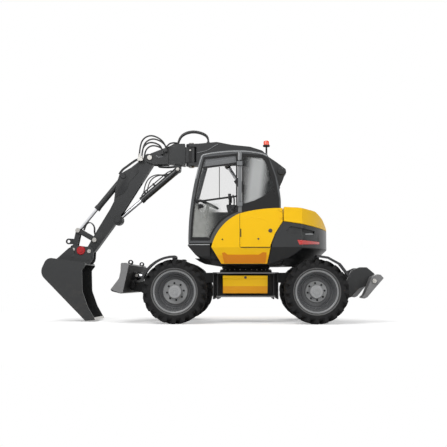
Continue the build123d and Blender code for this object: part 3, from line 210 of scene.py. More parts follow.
def make_finishes():
    """Every material of the machine, by the name its pieces use."""
    colours = bpy.context.scene.excavator_colours
    yellow = tuple(colours.panels)
    grey = tuple(colours.steelwork)
    paint("Yellow panels", yellow, 0.36, 0.06, dust=0.02)
    # Side covers: the orange under 1.150 m is painted shade on their lower faces, which lean in
    paint("Side cover yellow with painted shade", yellow, 0.36, 0.06, dust=0.02, below=(1.150, tone(244, 176, 10)))
    # Skirt panels: the yellow paint in painted shade
    paint("Skirt painted shade orange", tone(222, 134, 10), 0.38, 0.06, dust=0.02)
    # Toolboxes: the orange under 0.632 m is painted shade on their lower faces
    paint("Toolbox yellow with painted shade", yellow, 0.36, 0.08, dust=0.04, below=(0.632, tone(232, 158, 16)))
    paint("Frame grey", grey, 0.44, 0.12, soil=0.3)
    paint("Boom grey", grey, 0.38, 0.1, dust=0.08)
    paint("Cab grey", tuple(colours.cab), 0.36, 0.3, dust=0.06)
    paint("Post grey", tone(118, 120, 122), 0.34, 0.3)
    # Pale grey: painted highlight along the roof's edge and under the tail's vent, and the sill's lower edge
    paint("Pale grey", tone(158, 160, 162), 0.3, 0.4)
    paint("Tail grey", grey, 0.36, 0.15, dust=0.06, below=(1.286, tone(26, 27, 28)))
    paint("Cylinder grey", tuple(c * 0.9 for c in grey), 0.3, 0.3)
    paint("Rim grey", tone(98, 99, 101), 0.26, 0.5, dust=0.06, soil=0.1)
    # Rim lip: the rims' grey lightened on the flange as painted highlight
    paint("Rim lip painted highlight grey", tone(140, 141, 142), 0.3, 0.4, dust=0.05)
    paint("Hub grey", tone(160, 161, 162), 0.36, 0.2, dust=0.05)
    paint("Bucket grey", tuple(c * 1.15 for c in grey), 0.4, 0.15, soil=0.2)
    paint("Plate grey", tone(128, 128, 129), 0.4, 0.2, soil=0.35)
    paint("End plate brown", tone(84, 74, 72), 0.5, 0.1, soil=0.3)
    paint("Trim black", tone(18, 18, 19), 0.4, 0.1, dust=0.03)
    # Black of castings, bolts and clamps, and painted shade on the blade and partly on the turret's underside
    paint("Cast black and painted shade", tone(30, 30, 31), 0.55, 0.0, grain=0.001)
    paint("Knuckle red", tone(186, 14, 26), 0.3, 0.5, dust=0.03)

    def rubber(wire, place):
        scuff = wire.noise(place, 26, 6, 0.7)
        broad = wire.noise(place, 3.1, 3)
        shade = wire.mix(scuff.step(0.45, 0.8) * 0.5, tone(30, 30, 31), tone(56, 55, 53))
        shade = wire.mix(broad.step(0.35, 0.75) * 0.35, shade, tone(24, 24, 25))
        return {"Base Color": shade, "Roughness": scuff * 0.2 + 0.6,
                "Normal": wire.bump(wire.noise(place, 420, 3), 0.0006, 0.5)}

    finish("Tyre rubber", {"Specular IOR Level": 0.2}, rubber)
    # Bead ring: the tyres' rubber lightened as painted highlight
    paint("Bead rubber painted highlight", tone(98, 98, 98), 0.5, 0.0, dust=0.1)
    finish("Hose rubber", {"Roughness": 0.42, "Specular IOR Level": 0.5}, lambda wire, place: {
        "Base Color": wire.mix(wire.noise(place, 60, 4).step(0.4, 0.8) * 0.4, tone(26, 26, 27),
                               tone(48, 48, 48)),
        "Normal": wire.bump(wire.noise(place, 700, 2), 0.0003, 0.4)})
    finish("Fender plastic", {"Specular IOR Level": 0.4}, lambda wire, place: {
        "Base Color": wire.mix(upward(wire) * wire.noise(place, 30, 5).step(0.3, 0.8) * 0.25,
                               tone(48, 48, 50), tone(96, 92, 86)),
        "Roughness": wire.noise(place, 55, 4) * 0.2 + 0.5,
        "Normal": wire.bump(wire.noise(place, 520, 3), 0.0008, 0.5)})
    finish("Rod chrome", {"Metallic": 1.0}, lambda wire, place: {
        "Base Color": wire.mix(wire.noise(place, 12, 4) * 0.25, tone(226, 227, 230), tone(170, 172, 178)),
        "Roughness": wire.noise(place, 160, 3) * 0.08 + 0.08})
    finish("Bright steel", {"Metallic": 1.0}, lambda wire, place: {
        "Base Color": wire.mix(wire.noise(place, 40, 4) * 0.4, tone(196, 194, 190), tone(120, 117, 112)),
        "Roughness": wire.noise(place, 90, 4) * 0.25 + 0.22})
    finish("Tinted glass", {"Roughness": 0.03, "Specular IOR Level": 0.6}, glass)
    sheen = {"Sheen Weight": 0.35, "Sheen Roughness": 0.5, "Specular IOR Level": 0.2}
    finish("Cushion cloth", sheen, cloth)
    finish("Cab plastic", {"Specular IOR Level": 0.35}, lambda wire, place: {
        "Base Color": wire.mix(wire.noise(place, 5, 3) * 0.6, tone(42, 43, 45), tone(58, 58, 60)),
        "Roughness": wire.noise(place, 80, 4) * 0.2 + 0.5,
        "Normal": wire.bump(wire.noise(place, 650, 2), 0.0008, 0.5)})
    finish("Beacon orange", {"Roughness": 0.12, "Coat Weight": 0.6, "Specular IOR Level": 0.6,
                             "Emission Strength": 0.25}, ribbed_lens(tone(236, 74, 22), tone(160, 22, 6)))
    finish("Lamp red", {"Roughness": 0.1, "Coat Weight": 0.8, "Emission Strength": 0.12},
           ribbed_lens(tone(206, 26, 18), tone(120, 8, 8)))


def glass(wire, place):
    """Faintly tinted panes, with a pale band of painted reflection in the rear window and a pale, clouded patch
    low in the door.
    """
    x = wire.part(place, "X") - SLEW
    z = wire.part(place, "Z")
    slant = x + z * 0.12
    rear = 1 - x.step(0.03, 0.05)
    # Pale slanting band in the rear window: painted reflection
    painted_reflection_band = slant.step(-0.12, 0.06) * (1 - slant.step(0.16, 0.34)) * (1 - x.step(0.02, 0.05))
    pale_low_patch = (1 - z.step(1.98, 2.06)) * x.step(0.38, 0.72)
    shade = wire.mix(painted_reflection_band, tone(30, 33, 34), tone(190, 192, 192))
    shade = wire.mix(pale_low_patch, shade, tone(168, 170, 166))
    clouds = wire.noise(place, 4.0, 4).step(0.3, 0.75)
    alpha = rear * 0.42 + painted_reflection_band * 0.2 + pale_low_patch * (clouds * 0.3 + 0.4) + 0.06
    return {"Base Color": shade, "Alpha": alpha}


def cloth(wire, place):
    """Twill weave with a little fading in cloudy patches."""
    settings = {"wave_type": "BANDS", "bands_direction": "DIAGONAL"}
    along = {"Vector": place, "Scale": 190.0, "Distortion": 0.6}
    warp = wire.make("ShaderNodeTexWave", settings, along, 1)
    turned = wire.make("ShaderNodeMapping", {}, {"Vector": place, "Rotation": (0.0, 1.5708, 0.4)})
    across = {"Vector": turned, "Scale": 170.0, "Distortion": 0.6}
    weft = wire.make("ShaderNodeTexWave", settings, across, 1)
    fade = wire.noise(place, 6, 4)
    shade = wire.mix(warp * 0.35 + weft * 0.25, tone(30, 31, 33), tone(62, 63, 66))
    shade = wire.mix(fade.step(0.4, 0.8) * 0.3, shade, tone(78, 78, 80))
    return {"Base Color": shade, "Roughness": fade * 0.15 + 0.78,
            "Normal": wire.bump(warp * 0.5 + weft * 0.5, 0.0015, 0.6)}


def ribbed_lens(bright, deep):
    """Moulded plastic lens with upright ribs that glows a little."""

    def tree(wire, place):
        settings = {"wave_type": "BANDS", "bands_direction": "X"}
        ribs = wire.make("ShaderNodeTexWave", settings, {"Vector": place, "Scale": 26.0}, 1)
        shade = wire.mix(ribs * 0.6, bright, deep)
        return {"Base Color": shade, "Emission Color": shade, "Normal": wire.bump(ribs, 0.002, 0.5)}

    return tree


SLOT_FINISH = {
    "frame_grey": "Frame grey",
    "panel_yellow": "Yellow panels",
    "cab_grey": "Cab grey",
    "tinted_glass": "Tinted glass",
    "wheel_grey": "Rim grey",
    "tyre_rubber": "Tyre rubber",
    "fender_plastic": "Fender plastic",
    "seat_cloth": "Cushion cloth",
    "beacon_orange": "Beacon orange",
    "lamp_red": "Lamp red",
    "hose_rubber": "Hose rubber",
    "cylinder_grey": "Cylinder grey",
    "rod_chrome": "Rod chrome",
}
NODE_FINISH = {  # finishes that differ from their slot's
    "lower_boom": "Boom grey",
    "upper_boom": "Boom grey",
    "boom_head": "Boom grey",
    "arm": "Boom grey",
    "bucket": "Bucket grey",
    "coupler": "Bucket grey",
    "console": "Cab plastic",
    "engine_block": "Cast black and painted shade",
    "left_cover": "Side cover yellow with painted shade",
    "right_cover": "Side cover yellow with painted shade",
    "toolboxes": "Toolbox yellow with painted shade",
    "counterweight": "Tail grey",
    # turret_deck: its black is partly its own colour and partly painted shade of the underside
    "turret_deck": "Cast black and painted shade",
    "slew_ring": "Cast black and painted shade",
    "cab_door": "Trim black",
    # blade: its black is painted shade of the blade's back
    "blade": "Cast black and painted shade",
    "stabiliser_pads": "Plate grey",
}


# ---------------------------------------------------------------- making pieces
MERGE = 0.00005
PLATE_ANGLE = 28


def dress(obj, finish_name):
    """Give an object its only material."""
    obj.data.materials.clear()
    obj.data.materials.append(bpy.data.materials[finish_name])


def smooth_mesh(mesh, sharp):
    """Smooth a mesh but for the edges over sharp degrees."""
    mesh.shade_smooth()
    mesh.set_sharp_from_angle(angle=radians(sharp))


def settle(obj, body, finish_name, smooth=35.0):
    """Smooth a finished object, give it its material and put it on a body, or, where two bodies are given, bake
    its place into its mesh and put it on none.
    """
    dress(obj, finish_name)
    smooth_mesh(obj.data, smooth)
    if isinstance(body, tuple):
        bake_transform(obj)
    else:
        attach(obj, body)
    return obj


def link_mesh(name, bm):
    """A new object with the shape of a bmesh, which is used up."""
    mesh = bpy.data.meshes.new(name)
    bm.to_mesh(mesh)
    bm.free()
    obj = bpy.data.objects.new(name, mesh)
    bpy.context.collection.objects.link(obj)
    return obj


def make_piece(name, bm, body, finish_name, smooth=35.0):
    """Turn a bmesh into a finished piece that rides on a body."""
    bmesh.ops.remove_doubles(bm, verts=bm.verts, dist=MERGE)
    bmesh.ops.recalc_face_normals(bm, faces=bm.faces)
    return settle(link_mesh(name, bm), body, finish_name, smooth)


def bevelled(bm, edges, width, segments=2):
    """Round edges off."""
    bmesh.ops.bevel(bm, geom=edges, offset=width, offset_type="OFFSET", segments=segments,
                    profile=0.5, affect="EDGES", clamp_overlap=True, material=-1)


def sharp_edges(bm, angle=30.0):
    """Edges whose two faces meet at more than angle degrees."""
    return [e for e in bm.edges if len(e.link_faces) == 2 and e.calc_face_angle(0) > radians(angle)]


def eased_copy(node, width):
    """A CAD piece shown as a copy with its sharp edges rounded."""
    bm = bmesh.new()
    bm.from_mesh(frame["nodes"][node].data)
    bmesh.ops.remove_doubles(bm, verts=bm.verts, dist=2 * MERGE)
    bmesh.ops.dissolve_limit(bm, angle_limit=radians(1.0), verts=bm.verts, edges=bm.edges)
    obj = link_mesh(node + "_plates", bm)
    dress(obj, NODE_FINISH.get(node) or SLOT_FINISH[SLOT_OF[node]])
    smooth_mesh(obj.data, PLATE_ANGLE)
    round_off = obj.modifiers.new("Eased edges", "BEVEL")
    round_off.width = width
    round_off.segments = 2
    round_off.limit_method = "ANGLE"
    round_off.angle_limit = radians(PLATE_ANGLE)
    round_off.harden_normals = True
    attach(obj, BODY_OF[node])
    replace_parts(obj, node)


def band(bm, first, second):
    """Faces between two loops with as many vertices."""
    for i in range(-1, len(first) - 1):
        bm.faces.new((first[i], first[i + 1], second[i + 1], second[i]))


def skin(bm, rings):
    """Closed body over rings of points, all with as many."""
    rings = [[bm.verts.new(spot) for spot in ring] for ring in rings]
    bm.faces.new(rings[0])
    bm.faces.new(rings[-1][::-1])
    for pair in zip(rings, rings[1:]):
        band(bm, *pair)


def slab(bm, points, near, far):
    """Prism between two upright planes, drawn as (x from the slew axis, z)."""
    skin(bm, [[at(x, y, z) for x, z in points] for y in (near, far)])


def slabs(name, body, finish_name, blocks, ease=0.0):
    """A piece of slabs, each (points, near, far), with every edge rounded by ease."""
    bm = bmesh.new()
    for block in blocks:
        slab(bm, *block)
    if ease:
        bevelled(bm, bm.edges[:], ease)
    return make_piece(name, bm, body, finish_name)


def border(bm, outer, inner, near, far):
    """Flat frame between two outlines with as many points, between two upright planes."""
    sheets = ((outer, near), (inner, near), (inner, far), (outer, far))
    loops = [[bm.verts.new(at(x, y, z)) for x, z in points] for points, y in sheets]
    for pair in zip(loops, loops[1:] + loops[:1]):
        band(bm, *pair)


def knob(bm, foot, way, radius, height, steps=24, ease=0.86):
    """A turned head: a disc with an eased rim and a boss in its middle."""
    turn = Vector((0, 0, 1)).rotation_difference(Vector(way)).to_matrix()
    for wide, tall in ((1.0, 1.0), (0.55, 1.35)):
        made = bmesh.ops.create_cone(bm, cap_ends=True, segments=steps, radius1=radius * wide,
                                     radius2=radius * wide * ease, depth=height * tall)["verts"]
        bmesh.ops.rotate(bm, cent=(0, 0, 0), matrix=turn, verts=made)
        bmesh.ops.translate(bm, vec=foot + Vector(way) * height * tall / 2, verts=made)


def knobs(name, body, finish_name, heads):
    """A piece of turned heads, each with the values that knob takes after bm."""
    bm = bmesh.new()
    for head in heads:
        knob(bm, *head)
    return make_piece(name, bm, body, finish_name)


def flat(y, points):
    """Route of a tube on an upright plane."""
    return [(x, y, z) for x, z in points]


def tubes(name, body, routes, radius, finish_name="Hose rubber"):
    """Hoses or pipes on smooth curves through the control points (x, y, z) of each route."""
    curve = bpy.data.curves.new(name, "CURVE")
    curve.dimensions = "3D"
    curve.bevel_depth = radius
    curve.bevel_resolution = 3
    curve.use_fill_caps = True
    for route in routes:
        spline = curve.splines.new("NURBS")
        spline.points.add(len(route) - 1)
        for point, spot in zip(spline.points, route):
            point.co = (*at(*spot), 1.0)
        spline.order_u = 3
        spline.use_endpoint_u = True
        spline.resolution_u = 8
    drawn = bpy.data.objects.new(name + "_line", curve)
    bpy.context.collection.objects.link(drawn)
    mesh = evaluated_mesh(drawn)
    bpy.data.objects.remove(drawn)
    bpy.data.curves.remove(curve)
    bm = bmesh.new()
    bm.from_mesh(mesh)
    bpy.data.meshes.remove(mesh)
    return make_piece(name, bm, body, finish_name, smooth=50)


def evaluated_mesh(obj):
    """What an object looks like with its modifiers, as a mesh of its own."""
    return bpy.data.meshes.new_from_object(obj.evaluated_get(bpy.context.evaluated_depsgraph_get()))


# ---------------------------------------------------------------- padded pieces
SEAT_Y = 0.5875
SEAT_CUSHION = [(-0.070, 1.712), (0.380, 1.703), (0.412, 1.780), (0.392, 1.812), (0.060, 1.796),
                (-0.030, 1.822)]
SEAT_BACK = [(-0.080, 1.720), (0.008, 1.796), (-0.040, 2.075), (-0.120, 2.372), (-0.178, 2.372),
             (-0.210, 2.200), (-0.172, 1.772)]
SEAT_HEADREST = [(-0.134, 2.398), (-0.118, 2.432), (-0.160, 2.542), (-0.208, 2.542), (-0.232, 2.432),
                 (-0.182, 2.398)]
CUSHION_VOXEL = 0.006
SEAM_PLACE = 0.45  # of half the width
SEAM_DEPTH = 0.007
SEAM_REACH = 0.016
CLOTH_FRAMES = 20


def blown_up(obj):
    """Where an object's vertices go as a cloth under pressure."""
    sheet = obj.modifiers.new("Cloth", "CLOTH")
    sheet.settings.quality = 5
    sheet.settings.use_pressure = True
    sheet.settings.uniform_pressure_force = 4
    sheet.settings.effector_weights.gravity = 0
    sheet.point_cache.frame_start = 1
    sheet.point_cache.frame_end = CLOTH_FRAMES
    for number in range(1, CLOTH_FRAMES + 1):
        bpy.context.scene.frame_set(number)
    blown = obj.evaluated_get(bpy.context.evaluated_depsgraph_get())
    spots = [v.co.copy() for v in blown.data.vertices]
    obj.modifiers.remove(sheet)
    bpy.context.scene.frame_set(1)
    return spots


def stuffed(name, outline, half, fill_cap):
    """A cushion blown up as cloth from a slightly smaller shape, with two sewn channels."""
    bm = bmesh.new()
    slab(bm, outline, SEAT_Y - half, SEAT_Y + half)
    bmesh.ops.recalc_face_normals(bm, faces=bm.faces)
    obj = link_mesh(name, bm)
    fine = obj.modifiers.new("Remesh", "REMESH")
    fine.mode = "VOXEL"
    fine.voxel_size = CUSHION_VOXEL
    bpy.context.view_layer.update()
    shape = evaluated_mesh(obj)
    obj.modifiers.clear()
    obj.data = shape
    start = [v.co.copy() for v in obj.data.vertices]
    pushed = blown_up(obj)
    normals = [v.normal.copy() for v in obj.data.vertices]
    for vertex, old, new, normal in zip(obj.data.vertices, start, pushed, normals):
        swell = new - old
        if swell.length > fill_cap:
            swell *= fill_cap / swell.length
        off_seam = abs(abs(old.y - SEAT_Y) - SEAM_PLACE * half)
        groove = SEAM_DEPTH * max(0.0, 1 - off_seam / SEAM_REACH) ** 2
        vertex.co = old + swell - normal * groove
    soft = obj.modifiers.new("Subdivision", "SUBSURF")
    soft.levels = soft.render_levels = 1
    settle(obj, "turret", "Cushion cloth", smooth=60)
    return obj


# ---------------------------------------------------------------- turned pieces
# Sections as (outwards from the middle of the tyre, radius), in metres
TYRE_HALF = [(0.0, 0.493), (0.070, 0.492), (0.150, 0.486), (0.190, 0.470), (0.203, 0.452), (0.208, 0.434),
             (0.207, 0.412), (0.203, 0.394), (0.197, 0.389), (0.196, 0.384), (0.186, 0.376), (0.172, 0.366),
             (0.158, 0.350)]
TYRE_SECTION = [(-out, radius) for out, radius in TYRE_HALF[:0:-1]] + TYRE_HALF
RIM_SECTION = [(-0.046, 0.160), (-0.046, 0.226), (-0.036, 0.236), (-0.036, 0.244), (-0.046, 0.256),
               (-0.034, 0.276), (-0.004, 0.284), (0.050, 0.292), (0.075, 0.306), (0.110, 0.312),
               (0.126, 0.326), (0.160, 0.331), (0.160, 0.345), (0.0, 0.345), (-0.160, 0.345),
               (-0.175, 0.338), (-0.175, 0.364), (-0.163, 0.364), (-0.161, 0.330), (-0.090, 0.326),
               (-0.060, 0.300), (-0.060, 0.160)]
LIP_SECTION = [(0.158, 0.331), (0.166, 0.332), (0.172, 0.340), (0.175, 0.354), (0.174, 0.361),
               (0.168, 0.364), (0.162, 0.361), (0.158, 0.346)]
BEAD_SECTION = [(0.170, 0.368), (0.186, 0.370), (0.200, 0.378), (0.206, 0.388), (0.202, 0.394),
                (0.180, 0.390)]
WHEEL_STEPS = 96
HUB_FACE = -0.012
HUB_INSIDE = [(HUB_FACE, 0.122), (HUB_FACE + 0.010, 0.118), (0.088, 0.114), (0.104, 0.104), (0.106, 0.060),
              (0.112, 0.054), (0.112, 0.030), (0.106, 0.026), (0.106, 0.0)]
FRONT_HUB, REAR_HUB = 0.208, 0.180
BOLT_COUNT, BOLT_CIRCLE = 8, 0.143
LUG_STATIONS = [  # (outwards and radius of the lug's top, the same of its foot, lean in degrees, width)
    ((0.006, 0.5390), (0.006, 0.484), 17.0, 0.040),
    ((0.070, 0.5395), (0.070, 0.484), 12.5, 0.052),
    ((0.130, 0.5370), (0.130, 0.480), 7.0, 0.058),
    ((0.186, 0.5320), (0.176, 0.470), 2.0, 0.064),
    ((0.2125, 0.5120), (0.194, 0.450), 0.0, 0.062),
    ((0.2140, 0.4400), (0.203, 0.430), 0.0, 0.048),
]
FOOT_FLARE = 1.35


def lathe(bm, section, steps, close=True):
    """Spin a section of (y, radius) points round the Y axis."""
    verts = [bm.verts.new((0.0, y, radius)) for y, radius in section]
    edges = [bm.edges.new(pair) for pair in zip(verts, verts[1:])]
    if close:
        edges.append(bm.edges.new((verts[-1], verts[0])))
    bmesh.ops.spin(bm, geom=verts + edges, cent=(0, 0, 0), axis=(0, 1, 0), angle=2 * pi, steps=steps,
                   use_merge=True)
    bmesh.ops.remove_doubles(bm, verts=bm.verts, dist=MERGE)


def wheel_piece(name, corner, bm, finish_name, slot="wheel_grey", smooth=32):
    """Move a mesh drawn round the origin to its wheel, outwards to that side, and finish it."""
    if CORNERS[corner][1] < 0:
        bmesh.ops.scale(bm, vec=(1, -1, 1), verts=bm.verts)
    low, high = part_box(f"tyre_{corner}")
    bmesh.ops.translate(bm, vec=(low + high) / 2, verts=bm.verts)
    return make_piece(name, bm, f"wheel_{corner}", finish_name, smooth)


def turned(name, corner, section, finish_name, steps=WHEEL_STEPS, close=True, **options):
    """A lathed piece of a wheel."""
    bm = bmesh.new()
    lathe(bm, section, steps, close)
    return wheel_piece(name, corner, bm, finish_name, **options)


def tread(bm, count):
    """Two rows of lugs that lean from the tread's middle out over its shoulders; bm starts empty."""
    bmesh.ops.create_cube(bm, size=1.0)
    cuts = len(LUG_STATIONS) - 2
    along = [e for e in bm.edges if abs(e.verts[0].co.y - e.verts[1].co.y) > 0.5]
    bmesh.ops.subdivide_edges(bm, edges=along, cuts=cuts, use_grid_fill=True)
    for v in bm.verts:
        top, foot, lean, width = LUG_STATIONS[round((v.co.y + 0.5) * (cuts + 1))]
        out, radius = top if v.co.z > 0 else foot
        flare = 1.0 if v.co.z > 0 else FOOT_FLARE
        angle = radians(lean) + v.co.x * width * flare / radius
        v.co = Vector((radius * cos(angle), out, radius * sin(angle)))
    crown = [e for e in sharp_edges(bm, 40) if min(Vector((v.co.x, v.co.z)).length for v in e.verts) > 0.5]
    bevelled(bm, crown, 0.005, 1)
    copy = bmesh.ops.duplicate(bm, geom=bm.verts[:] + bm.edges[:] + bm.faces[:])["geom"]
    verts = [g for g in copy if isinstance(g, bmesh.types.BMVert)]
    bmesh.ops.scale(bm, vec=(1, -1, 1), verts=verts)
    bmesh.ops.rotate(bm, cent=(0, 0, 0), matrix=Matrix.Rotation(pi / count, 3, "Y"), verts=verts)
    bmesh.ops.spin(bm, geom=bm.verts[:] + bm.edges[:] + bm.faces[:], cent=(0, 0, 0), axis=(0, 1, 0),
                   angle=2 * pi * (count - 1) / count, steps=count - 1, use_duplicate=True)


def hex_bolt(bm, foot, radius, height, turn):
    """A hexagon head on a washer, standing out along Y."""
    for sides, wide, low, high in ((16, 1.3, 0.0, 0.25), (6, 1.0, 0.25, 1.0)):
        made = bmesh.ops.create_cone(bm, cap_ends=True, segments=sides, radius1=radius * wide,
                                     radius2=radius * wide * 0.96, depth=height * (high - low))["verts"]
        bmesh.ops.rotate(bm, cent=(0, 0, 0), matrix=Matrix.Rotation(-pi / 2, 3, "X"), verts=made)
        bmesh.ops.rotate(bm, cent=(0, 0, 0), matrix=Matrix.Rotation(-turn, 3, "Y"), verts=made)
        bmesh.ops.translate(bm, vec=foot + Vector((0, height * (low + high) / 2, 0)), verts=made)


# ---------------------------------------------------------------- sizes and colours
class ExcavatorColours(PropertyGroup):
    """Paint colours."""

    panels: FloatVectorProperty(name="Panels", description="Colour of the covers", subtype="COLOR",
                                default=tone(252, 198, 0), min=0, max=1)
    steelwork: FloatVectorProperty(name="Steelwork", description="Colour of the boom and the chassis",
                                   subtype="COLOR", default=tone(50, 51, 52), min=0, max=1)
    cab: FloatVectorProperty(name="Cab", description="Colour of the cab's frame", subtype="COLOR",
                             default=tone(78, 80, 82), min=0, max=1)


class ExcavatorSizes(PropertyGroup):
    """Sizes of the added details."""

    lugs: IntProperty(name="Tread lugs", description="Lugs on each side of a tyre", default=20, min=8,
                      max=40)
    edge: FloatProperty(name="Edge radius", description="Rounding of plate edges", default=0.006,
                        unit="LENGTH")


# ---------------------------------------------------------------- operators
class EXCAVATOR_OT_stage(Operator):
    """Floor, lights and camera"""

    bl_idname = "excavator.stage"
    bl_label = "Stage"

    def execute(self, context):
        world = context.scene.world or bpy.data.worlds.new("Studio")
        context.scene.world = world
        world.use_nodes = True
        wire = Wire(world.node_tree)
        path = {name: wire.make("ShaderNodeLightPath", {}, {}, name)
                for name in ("Is Camera Ray", "Is Glossy Ray", "Is Transmission Ray")}
        seen = wire.maths("MAXIMUM", path["Is Camera Ray"],
                          wire.maths("MAXIMUM", path["Is Glossy Ray"], path["Is Transmission Ray"]))
        sky = world.node_tree.nodes["Background"]
        sky.inputs["Color"].default_value = (1, 1, 1, 1)
        world.node_tree.links.new((seen * 0.6 + 0.4).socket, sky.inputs["Strength"])

        bm = bmesh.new()
        bmesh.ops.create_grid(bm, x_segments=1, y_segments=1, size=150)
        floor = link_mesh("Floor", bm)
        material = bpy.data.materials.new("Studio floor")
        material.use_nodes = True
        wire = Wire(material.node_tree)
        camera_ray = wire.make("ShaderNodeLightPath", {}, {}, "Is Camera Ray")
        ground = wire.make("ShaderNodeTexCoord", {}, {}, "Object")
        away = wire.make("ShaderNodeVectorMath", {"operation": "LENGTH"}, {0: ground}, 1)
        fade = camera_ray * away.step(3.2, 8.0)
        pale = wire.mix(camera_ray, (0.8,) * 3, (1.0,) * 3)
        diffuse = wire.make("ShaderNodeBsdfDiffuse", {}, {"Color": pale})
        glow = wire.make("ShaderNodeEmission", {}, {"Strength": camera_ray * 0.36})
        lit = wire.make("ShaderNodeAddShader", {}, {0: diffuse, 1: glow})
        white = wire.make("ShaderNodeEmission", {}, {})
        both = wire.make("ShaderNodeMixShader", {}, {0: fade, 1: lit, 2: white})
        output = material.node_tree.nodes["Material Output"]
        material.node_tree.links.new(both.socket, output.inputs["Surface"])
        floor.data.materials.append(material)

        for name, place, aim, size, power in (
            ("Key softbox", (3.5, 8.0, 8.5), (0.0, 0.0, 1.4), 6.0, 620.0),
            ("Fill softbox", (-7.0, 8.0, 4.0), (-1.0, 0.0, 1.2), 5.0, 210.0),
            ("Back softbox", (-2.0, -8.0, 7.0), (0.0, 0.0, 1.4), 6.0, 340.0),
        ):
            light = bpy.data.lights.new(name, "AREA")
            light.size = size
            light.energy = power
            lamp = bpy.data.objects.new(name, light)
            lamp.location = place
            lamp.rotation_euler = (Vector(aim) - Vector(place)).to_track_quat("-Z", "Y").to_euler()
            context.collection.objects.link(lamp)

        camera = bpy.data.cameras.new("Camera")
        camera.lens = 63.0
        camera.sensor_width = 36.0
        camera.clip_end = 400.0
        view = bpy.data.objects.new("Camera", camera)
        view.location = at(-0.077, 14.225, 0.652)
        yaw, pitch = radians(1.94), radians(4.49)
        way = Vector((sin(yaw) * cos(pitch), -cos(yaw) * cos(pitch), sin(pitch)))
        view.rotation_euler = way.to_track_quat("-Z", "Y").to_euler()
        context.collection.objects.link(view)
        context.scene.camera = view
        context.scene.view_settings.view_transform = "Standard"
        return {"FINISHED"}


class EXCAVATOR_OT_finishes(Operator):
    """Materials, and those of the CAD pieces that stay as they are"""

    bl_idname = "excavator.finishes"
    bl_label = "Finishes"

    def execute(self, context):
        make_finishes()
        for node, obj in frame["nodes"].items():
            dress(obj, NODE_FINISH.get(node) or SLOT_FINISH[SLOT_OF[node]])
        return {"FINISHED"}


class EXCAVATOR_OT_plates(Operator):
    """Welded plates and castings with eased edges"""

    bl_idname = "excavator.plates"
    bl_label = "Plates"

    def execute(self, context):
        for node in ("lower_boom", "upper_boom", "boom_head", "arm", "lever", "link", "coupler", "bucket",
                     "blade", "stabiliser_legs", "stabiliser_pads", "chassis_frame", "toolboxes",
                     "slew_ring", "turret_deck", "counterweight", "rear_hood", "left_cover",
                     "service_door", "right_cover", "cab_shell", "cab_door"):
            eased_copy(node, context.scene.excavator_sizes.edge)
        for name, body, half, finish_name, points in (
            ("arm_doublers", "dipper", ARM_HALF, "Boom grey", [
                (1.985, 2.882), (2.115, 2.790), (2.300, 2.690), (2.372, 2.420), (2.388, 2.260),
                (2.250, 2.330), (2.178, 2.423), (2.154, 2.541), (2.047, 2.649), (1.965, 2.735)]),
            ("arm_foot_doublers", "dipper", ARM_HALF, "Boom grey", [
                (2.690, 1.650), (2.790, 1.500), (2.905, 1.300), (2.864, 1.215), (2.775, 1.285),
                (2.600, 1.530)]),
            ("head_panels", "head", HEAD_HALF, "Post grey", [
                (1.520, 3.020), (1.600, 3.000), (1.640, 3.035), (1.650, 3.020), (1.606, 2.984),
                (1.520, 3.004)]),
        ):
            bm = bmesh.new()
            for side in (-1, 1):
                slab(bm, points, BOOM_Y + side * (half - 0.002), BOOM_Y + side * (half + 0.006))
            rims = [e for e in bm.edges if abs(e.verts[0].co.y - e.verts[1].co.y) < 0.001]
            bevelled(bm, rims, 0.002)
            make_piece(name, bm, body, finish_name)
        # Black strips and a black block in the slot of the boom head: painted shade
        strip = [(0.993, 2.912), (0.993, 3.182), (1.048, 3.182), (1.048, 2.912)]
        core = [(1.062, 2.935), (1.125, 2.935), (1.125, 3.185), (1.062, 3.185)]
        sides = [(strip, BOOM_Y + side * 0.070, BOOM_Y + side * 0.097) for side in (-1, 1)]
        slabs("head_slot_painted_shade", "head", "Trim black",
              [*sides, (core, BOOM_Y - 0.05, BOOM_Y + 0.05)])
        knobs("offset_grease_cap", "head", "Bright steel",
              [(at(1.020, BOOM_Y + 0.096, 3.128), (0, 1, 0), 0.017, 0.008)])
        return {"FINISHED"}


class EXCAVATOR_OT_tyres(Operator):
    """Tyres with shoulder lugs"""

    bl_idname = "excavator.tyres"
    bl_label = "Tyres"

    def execute(self, context):
        for corner in CORNERS:
            bm = bmesh.new()
            tread(bm, context.scene.excavator_sizes.lugs)
            lathe(bm, TYRE_SECTION, WHEEL_STEPS)
            piece = wheel_piece(f"tyre_{corner}_lugged", corner, bm, "Tyre rubber", slot="tyre_rubber",
                                smooth=35)
            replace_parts(piece, f"tyre_{corner}")
        return {"FINISHED"}


class EXCAVATOR_OT_wheels(Operator):
    """Rims with a dished centre and a lip lightened as painted highlight, bead rings lightened as painted
    highlight, and hubs with their bolts
    """

    bl_idname = "excavator.wheels"
    bl_label = "Wheels"

    def execute(self, context):
        for corner, (end, _side) in CORNERS.items():
            rim = turned(f"rim_{corner}_pressed", corner, RIM_SECTION, "Rim grey")
            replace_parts(rim, f"rim_{corner}")
            turned(f"rim_lip_{corner}", corner, LIP_SECTION, "Rim lip painted highlight grey")
            turned(f"bead_{corner}", corner, BEAD_SECTION, "Bead rubber painted highlight", slot="tyre_rubber", smooth=40)
            wide = FRONT_HUB if end > 0 else REAR_HUB
            rim_edge = [(-0.070, 0.0), (-0.070, wide - 0.008), (-0.060, wide), (HUB_FACE - 0.006, wide),
                        (HUB_FACE, wide - 0.006)]
            turned(f"hub_{corner}", corner, rim_edge + HUB_INSIDE, "Hub grey", steps=72, close=False)
            bm = bmesh.new()
            for bolt in range(BOLT_COUNT):
                turn = 2 * pi * (bolt + 0.85) / BOLT_COUNT
                foot = Vector((BOLT_CIRCLE * cos(turn), HUB_FACE, BOLT_CIRCLE * sin(turn)))
                hex_bolt(bm, foot, 0.0135, 0.016, turn)
            wheel_piece(f"hub_bolts_{corner}", corner, bm, "Cast black and painted shade")
        return {"FINISHED"}


